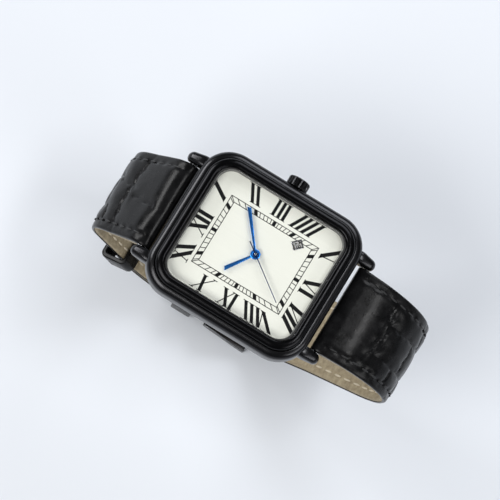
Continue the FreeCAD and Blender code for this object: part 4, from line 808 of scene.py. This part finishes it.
def buildCrown():
    count = crownLook["flutes"] * 8
    step = 2 * math.pi / count
    deselectAll()
    bpy.ops.mesh.primitive_cylinder_add(vertices=count, radius=crownLook["radius"] * mm, depth=crownLook["length"] * mm)
    crown = bpy.context.object
    crown.name = "crownKnob"
    for offset, share in crownLook["profile"]:  # pushes groups of edges inward to leave round flutes
        selectEdges(crown, lambda a, b: abs(a.z - b.z) > mm and
                min(k := round(math.atan2(a.y, a.x) / step) % 8, 8 - k) == offset)
        shrink = 1 - share * crownLook["depth"] / crownLook["radius"]
        bpy.ops.transform.resize(value=(shrink, shrink, 1))
        objectMode()
    for up, rises in ((-1, crownLook["foot"]), (1, crownLook["dome"])):
        capFace(crown, up)
        for rise, shrink in rises:
            extrudeBy(0, 0, up * rise)
            bpy.ops.transform.resize(value=(shrink, shrink, 1))
        objectMode()
    crown.data.transform(Matrix.Rotation(math.pi / 2, 4, "Y"))
    middle = crownLook["start"] + crownLook["length"] / 2 - crownLook["sink"]
    crown.data.transform(Matrix.Translation((middle * mm, 0, crownLook["level"] * mm)))
    tidyNormals(crown, 32)
    return crown


finishPiece(buildCrown(), "crown_knob", "blackCase", "crown")
print("crown ready")


# the strap follows the same runs and bends as the solid strap; lengths in mm, headings in degrees
strapLook = {
    "start": 21.5, "lugHalf": 10.85, "bendHalf": 9.9, "buckleHalf": 9.0, "bendAt": 28.0, "buckleAt": 62.0,
    "lugThickness": 4.8, "thickness": 2.2, "taperAt": 24.0, "skinTurned": 4.2, "skinLug": 2.2, "skinThin": 1.4,
    "gap": 0.15, "foldPlace": -0.6, "heelRadius": 16.0, "heelHeading": 122.0, "returnHeading": 140.0,
    "tail": 9.0, "tipLength": 6.0, "tipLeast": 0.14, "endRound": 0.72, "fill": 0.8,
}


class StrapLine:  # outer face of a strap half in the YZ plane

    def __init__(self, side, level, slope, seed):
        self.side, self.seed, self.legs, self.length = side, seed, [], 0.0
        self.end = (strapLook["start"], level, math.radians(slope))

    def addLeg(self, length, radius):
        self.legs.append((self.length, length, self.end, radius))
        self.length += length
        self.end = self.at(self.length)

    def run(self, length):
        self.addLeg(length, None)

    def bend(self, radius, heading):
        self.addLeg(radius * (math.radians(heading) - self.end[2]), radius)

    def at(self, distance):
        for begin, length, (reach, level, heading), radius in self.legs:
            if distance <= begin + length + limits["tiny"]:
                break
        along = distance - begin
        if radius is None:
            return reach + along * math.cos(heading), level - along * math.sin(heading), heading
        last = heading + along / radius
        return (reach + radius * (math.sin(last) - math.sin(heading)),
                level - radius * (math.cos(heading) - math.cos(last)), last)

    def point(self, distance, across, depth):
        reach, level, heading = self.at(min(max(distance, 0.0), self.length))
        return Vector((across, self.side * (reach - depth * math.sin(heading)), level - depth * math.cos(heading))) * mm


shortLine = StrapLine(1, 4.35, 20.0, 0.6)
shortLine.run(1.6)
shortLine.bend(8.0, 55.0)
shortLine.run(11.0)
shortLine.bend(13.0, strapLook["heelHeading"])
shortLine.run(17.8)
shortLine.bend(strapLook["heelRadius"], 180.0)
heelEnd = shortLine.end
shortLine.run(heelEnd[0] - strapLook["foldPlace"])
tailLevel = heelEnd[1] - strapLook["gap"] - strapLook["thickness"]
longLine = StrapLine(-1, 4.6, 5.0, 2.2)
longLine.run(6.0)
longLine.bend(17.0, strapLook["returnHeading"])
returnTurn = math.radians(strapLook["returnHeading"])
longLine.run((longLine.end[1] - strapLook["heelRadius"] * (1 + math.cos(returnTurn)) - tailLevel)
        / math.sin(returnTurn))
longLine.bend(strapLook["heelRadius"], 180.0)
flatStart = longLine.length
longLine.run(longLine.end[0] + heelEnd[0])
longLine.bend(strapLook["heelRadius"] + strapLook["gap"] + strapLook["thickness"], 360.0 - strapLook["heelHeading"])
longLine.run(strapLook["tail"])


def blendValue(distance, *knots):
    return float(np.interp(distance, [knot[0] for knot in knots], [knot[1] for knot in knots]))


def halfWidthAt(line, distance):
    half = blendValue(distance, (2.0, strapLook["lugHalf"]), (strapLook["bendAt"], strapLook["bendHalf"]),
            (strapLook["buckleAt"], strapLook["buckleHalf"]))
    left = (line.length - distance) / strapLook["tipLength"]
    if line is longLine and left < 1:
        half *= math.sqrt(max(0.0, 1 - (1 - left) ** 2)) * (1 - strapLook["tipLeast"]) + strapLook["tipLeast"]
    return half


def thicknessAt(distance):
    return blendValue(distance, (2.0, strapLook["lugThickness"]), (strapLook["taperAt"], strapLook["thickness"]))


def skinAt(distance):  # the outer leather is turned over the end at the case
    return blendValue(distance, (0.3, strapLook["skinTurned"]), (2.4, strapLook["skinLug"]),
            (strapLook["taperAt"], strapLook["skinThin"]))


def endRounding(distance, thickness):  # depth lost above and below at a rounded end
    share = min(1.0, distance / (thickness / 2))
    return strapLook["endRound"] * thickness / 2 * (1 - math.sqrt(1 - (1 - share) ** 2))


def sectionAt(line, distance):
    half, thickness, skin = halfWidthAt(line, distance), thicknessAt(distance), skinAt(distance)
    lost = endRounding(distance, thickness)
    if line is shortLine:
        lost = max(lost, endRounding(line.length - distance, thickness))
    return half, thickness, skin, lost


# embossed hide: rows are creases across the strap; lengthwise is across, from, to on the short half;
# sway is size, rate and turns; spread values say how fast the tiles rise from a crease
hideLook = {"shortRows": [13.6, 21.5] + [28.5 + 7 * row for row in range(7)],
        "longRows": [10.4, 11.7, 22.0] + [30.5 + 8 * row for row in range(12)],
        "lengthwise": [(-1.9, 4.6, 12.9), (1.4, 14.4, 20.8)], "middleHalf": 3.9, "middleShift": -0.35,
        "bow": 1.9, "flatBow": 0.7, "sideShift": 3.4, "backShift": -0.8, "foldReach": 6.2, "foldRun": 2.2,
        "sway": [(0.35, 0.9, 1), (0.2, 2.3, 2)], "tileRise": 0.42, "nearShare": 0.4, "nearSpread": 1.3,
        "tileSpread": 4.2, "creaseWidth": 0.26, "creaseDepth": 0.25}


def bell(off, width):
    return math.exp(-(off / width) ** 2)


def hideRelief(line, distance, across, half):  # height of the embossed tiles above the plain face
    rows = hideLook["shortRows" if line is shortLine else "longRows"]
    wander = sum(size * math.sin(distance * rate + turns * line.seed) for size, rate, turns in hideLook["sway"])
    edgeLine = hideLook["middleHalf"] * (half / strapLook["lugHalf"]) ** 0.5 + wander * 0.5
    centred = abs(across - hideLook["middleShift"])
    tilesFrom = rows[1] + (hideLook["foldRun"] if line is longLine else 0.0)
    nearest = abs(centred - edgeLine) + max(0.0, tilesFrom - distance) * 0.6
    for index, row in enumerate(rows):
        bow = hideLook["bow"] * (1 - (across / half) ** 2) * (1 if index % 2 == 0 or index < 2 else hideLook["flatBow"])
        place = row + bow + 0.25 * math.sin(across * 1.7 + index * 2.1 + line.seed)
        away = abs(distance - place)
        if line is longLine and index < 2:  # two short folds that fade out before the edges
            away += max(0.0, abs(across - 0.6) - hideLook["foldReach"] + index) * 0.8
        elif centred >= edgeLine and index:
            away = abs(distance - place - hideLook["sideShift"] * (1 if across > 0 else hideLook["backShift"]))
        nearest = min(nearest, away)
    for place, begin, finish in hideLook["lengthwise"] if line is shortLine else ():
        away = abs(across - place - 0.12 * (distance - begin) - 0.15 * math.sin(distance * 1.3))
        nearest = min(nearest, away + max(0.0, begin - distance, distance - finish) * 0.8)
    near = hideLook["nearShare"]
    puff = near * (1 - bell(nearest, hideLook["nearSpread"])) + (1 - near) * (1 - bell(nearest, hideLook["tileSpread"]))
    return hideLook["tileRise"] * puff - hideLook["creaseDepth"] * bell(nearest, hideLook["creaseWidth"])


# stitching: places along the strap, the thread's size, and the channel that it pulls into the hide
threadLook = {"inset": 2.1, "pitch": 3.0, "length": 2.1, "width": 0.5, "flat": 0.8, "channelDepth": 0.3,
        "channelWidth": 0.55, "first": 4.5, "shortStop": 7.0, "longStop": 5.0, "topDepth": 0.48,
        "underLift": 0.02, "lean": 0.09}


def stitchDip(distance, across, half):  # deeper at each needle hole
    off = abs(abs(across) - (half - threadLook["inset"]))
    pull = 0.65 + 0.35 * math.cos(2 * math.pi * distance / threadLook["pitch"])
    return threadLook["channelDepth"] * pull * bell(off, threadLook["channelWidth"])


skinLook = {"columns": 54, "edgeRoll": 0.9, "edgeDrop": 0.75, "rollSteps": 5, "least": 0.15, "fadeIn": 3.0,
        "plainEdge": 1.2, "plainFade": 1.4, "edgeRelief": 0.35, "rowStep": 0.42}
liningLook = {"inset": 0.2, "soft": 0.35, "least": 0.1, "rowStep": 1.0}


def skinLoop(line, distance):  # one closed section of the outer leather, as (across, depth) pairs
    half, thickness, skin, lost = sectionAt(line, distance)
    low = min(max(skin, lost + skinLook["least"]), thickness - lost - skinLook["least"])
    fade = min(1.0, distance / skinLook["fadeIn"])
    roll = min(skinLook["edgeRoll"], half * 0.4)
    drop = skinLook["edgeDrop"] * min(1.0, low / strapLook["skinThin"]) * (1 - 0.3 * lost)
    flat = []
    for index in range(skinLook["columns"]):
        across = (half - roll) * (2 * index / (skinLook["columns"] - 1) - 1)
        depth = lost + drop * 0.45 * (across / half) ** 4
        relief = hideRelief(line, distance, across, half) * fade
        inside = min(1.0, max(0.0, (half - skinLook["plainEdge"] - abs(across)) / skinLook["plainFade"]))
        share = skinLook["edgeRelief"] + (1 - skinLook["edgeRelief"]) * inside
        depth += hideLook["tileRise"] - relief * share + stitchDip(distance, across, half) * fade
        flat.append((across, depth))
    side = []
    for index in range(1, skinLook["rollSteps"]):
        angle = math.pi / 2 * index / skinLook["rollSteps"]
        side.append((half - roll + roll * math.sin(angle), flat[-1][1] + drop * 0.55 * (1 - math.cos(angle))))
    bottom = [(half, max(side[-1][1] + 0.05, low * 0.75)), (half - 0.04, low)]
    left = [(-x, depth) for x, depth in reversed(side + bottom)]
    return left + flat + side + bottom


def liningLoop(line, distance):
    half, thickness, skin, lost = sectionAt(line, distance)
    low = thickness - lost
    top = min(max(skin, lost + skinLook["least"]), low - liningLook["least"])
    edge, middle = half - liningLook["inset"], (low + top) / 2
    soft = min(liningLook["soft"], (low - top) * 0.5)
    loop = [(-edge, low - soft), (-edge, middle), (-edge, top), (-edge * 0.5, top), (0, top), (edge * 0.5, top),
            (edge, top), (edge, middle), (edge, low - soft), (edge - soft * 0.4, low - soft * 0.3), (edge - soft, low)]
    for index in range(1, 20):
        across = (edge - soft) * (1 - index / 10)
        loop.append((across, low - 0.5 * stitchDip(distance, across, half)))
    return loop + [(-edge + soft, low), (-edge + soft * 0.4, low - soft * 0.3)]


def wrapGrid(name, line, step, loopAt):  # rows of a grid wrapped into closed sections along the strap's line
    rows = max(8, int(line.length / step))
    ends = {near for gap in (0.12, 0.3) for near in (gap, line.length - gap)}
    stations = sorted(ends | {line.length * index / rows for index in range(rows + 1)})
    deselectAll()
    bpy.ops.mesh.primitive_grid_add(x_subdivisions=len(loopAt(line, 0.0)), y_subdivisions=len(stations) - 1, size=1)
    piece = bpy.context.object
    piece.name = name
    places = []
    for distance in stations:
        loop = loopAt(line, distance)
        places += [line.point(distance, across, depth) for across, depth in loop + loop[:1]]
    order = sorted(piece.data.vertices, key=lambda v: (round(v.co.y, 6), round(v.co.x, 6)))
    for vertex, place in zip(order, places):
        vertex.co = place
    editAll(piece)
    bpy.ops.mesh.remove_doubles(threshold=limits["weld"])
    bpy.ops.mesh.select_all(action="SELECT")
    bpy.ops.mesh.fill_holes(sides=0)
    bpy.ops.mesh.select_all(action="SELECT")
    bpy.ops.mesh.normals_make_consistent(inside=False)
    objectMode()
    smoothBy(piece, 50)
    return piece


# places are along the flat of the buckled strap, from the hand axis
buckleLook = {"slotPlace": 0.3, "slotHalf": 1.1, "slotLength": 4.2, "slotDepth": 4.0, "tonguePlace": -1.9,
        "holeRadius": 0.85, "holePitch": 6.5, "holes": 7, "usedWidth": 2.1, "usedLength": 3.9, "cutDepth": 6,
        "past": 1.5}


def cutterBlock(size, place):
    return startShape(bpy.ops.mesh.primitive_cube_add, "cutter", size, place)


def holeCutters():
    used = buckleLook["holes"] // 2
    begin = flatStart + longLine.at(flatStart)[0] + buckleLook["tonguePlace"]
    cutters = []
    for index in range(buckleLook["holes"]):
        if index == used:
            cutters.append(cutterBlock((buckleLook["usedWidth"], buckleLook["usedLength"], buckleLook["cutDepth"]),
                    (0, buckleLook["tonguePlace"], tailLevel + strapLook["thickness"] / 2)))
            continue
        distance = begin + (index - used) * buckleLook["holePitch"]
        outer = longLine.point(distance, 0, -buckleLook["past"])
        inner = longLine.point(distance, 0, strapLook["thickness"] + buckleLook["past"])
        deselectAll()
        bpy.ops.mesh.primitive_cylinder_add(vertices=24, radius=buckleLook["holeRadius"] * mm,
                depth=(inner - outer).length, location=(inner + outer) / 2,
                rotation=(inner - outer).to_track_quat("Z", "Y").to_euler())
        cutters.append(bpy.context.object)
        settle(cutters[-1])
    return joined("holeCutters", cutters)


def cutAndRemove(cutter, *pieces):
    for piece in pieces:
        applyModifier(piece, "BOOLEAN", operation="DIFFERENCE", object=cutter, solver="MANIFOLD")
    bpy.data.objects.remove(cutter)


def buildStitches(name, line, last, side, depthAt, lean):  # a row of small copies of one rounded bead
    deselectAll()
    bpy.ops.mesh.primitive_uv_sphere_add(segments=8, ring_count=6, radius=0.5 * mm)
    bead = bpy.context.object
    bead.data.transform(Matrix.Diagonal((threadLook["width"], threadLook["length"],
            threadLook["width"] * threadLook["flat"], 1)))
    made = []
    distance = threadLook["first"]
    while distance < last:
        across, depth = side * (halfWidthAt(line, distance) - threadLook["inset"]), depthAt(distance)
        along = (line.point(distance + 0.5, across, depth) - line.point(distance - 0.5, across, depth)).normalized()
        sideways = Vector((1, 0, 0))
        turned = Matrix((sideways, along, sideways.cross(along).normalized())).transposed().to_4x4()
        stitch = copyOf(bead)
        stitch.data.transform(Matrix.Translation(line.point(distance, across, depth)) @ turned
                @ Matrix.Rotation(lean * side, 4, "Z"))
        made.append(stitch)
        distance += threadLook["pitch"]
    bpy.data.objects.remove(bead)
    row = joined(name, made)
    activate(row)
    bpy.ops.object.shade_smooth()
    return row


shortSkin = wrapGrid("strapShortLeather", shortLine, skinLook["rowStep"], skinLoop)
longSkin = wrapGrid("strapLongLeather", longLine, skinLook["rowStep"], skinLoop)
shortLining = wrapGrid("strapShortLining", shortLine, liningLook["rowStep"], liningLoop)
longLining = wrapGrid("strapLongLining", longLine, liningLook["rowStep"], liningLoop)
cutAndRemove(holeCutters(), longSkin, longLining)
cutAndRemove(cutterBlock((2 * buckleLook["slotHalf"], buckleLook["slotLength"], buckleLook["slotDepth"]),
        (0, buckleLook["slotPlace"], heelEnd[1] + strapLook["thickness"] / 2)),
        shortSkin, shortLining)
for piece, node in ((shortSkin, "strap_short_leather"), (longSkin, "strap_long_leather")):
    finishPiece(piece, "watch_case", "leather", node)
for piece, node in ((shortLining, "strap_short_lining"), (longLining, "strap_long_lining")):
    finishPiece(piece, "watch_case", "lining", node)


def topDepth(distance):
    return threadLook["topDepth"] + endRounding(distance, thicknessAt(distance))


def underDepth(distance):
    return thicknessAt(distance) - threadLook["underLift"]


for tag, line, last in (("Short", shortLine, shortLine.length - threadLook["shortStop"]),
        ("Long", longLine, longLine.length - threadLook["longStop"])):
    for kind, slot, paint, depthAt, lean in (("Top", "leather_black", "blackThread", topDepth, threadLook["lean"]),
            ("Under", "leather_lining", "beigeThread", underDepth, 0.0)):
        rows = [buildStitches("row%s%d" % (kind, side), line, last, side, depthAt, lean) for side in (-1, 1)]
        finishPiece(joined("stitches" + tag + kind, rows), "watch_case", paint)
print("strap ready")


def softenedNode(name, node, width):  # a copy of a CAD node with its triangles merged and its edges rounded
    piece = copyOf(nodes[node])
    piece.parent = None
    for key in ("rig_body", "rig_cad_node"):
        if key in piece:
            del piece[key]
    piece.name = name
    editAll(piece)
    bpy.ops.mesh.remove_doubles(threshold=limits["copyWeld"])
    bpy.ops.mesh.dissolve_limited(angle_limit=math.radians(4))
    objectMode()
    softenEdges(piece, width)
    smoothBy(piece, 38)
    return piece


# piece, its node, body, look, slot and the width of its rounded edges
for name, node, body, look, slot, width in (
        ("keeperFixed", "keeper_fixed", "watch_case", "leather", "leather_black", 0.28),
        ("keeperLoose", "keeper_loose", "loose_keeper", "leather", "leather_black", 0.28),
        ("buckleFrame", "buckle_frame", "buckle", "blackCase", "black_case", 0.25),
        ("buckleTongue", "buckle_tongue", "tongue", "blackCase", "black_case", 0.2),
        ("caseBack", "case_back", "watch_case", "backSteel", "steel", 0.06)):
    finishPiece(softenedNode(name, node, width), body, look, node)

# finishes of the nodes that stay as they are
nodeLooks = {
    "rubber": ["crystal_gasket", "case_back_gasket", "crown_gasket"], "rehaut": ["flange_ring"], "dial": ["dial"],
    "holder": ["movement_holder"], "magnet": ["rotor"], "dateCard": ["date_disc"], "copper": ["coil"],
    "board": ["circuit_board"],
    "brass": ["third_wheel", "intermediate_wheel", "centre_wheel", "minute_wheel", "hour_wheel",
        "date_driving_wheel", "main_plate"],
    "steel": ["case_back_screws", "crown_tube", "stem", "second_wheel", "setting_lever", "train_bridge",
        "bridge_screws", "stator", "coil_core", "battery", "battery_clamp", "quartz_can", "spring_bar_12",
        "spring_bar_6", "buckle_pin"],
}
for look, names in nodeLooks.items():
    for node in names:
        dress(nodes[node], look)
print("carried-over nodes finished:", sum(len(names) for names in nodeLooks.values()))
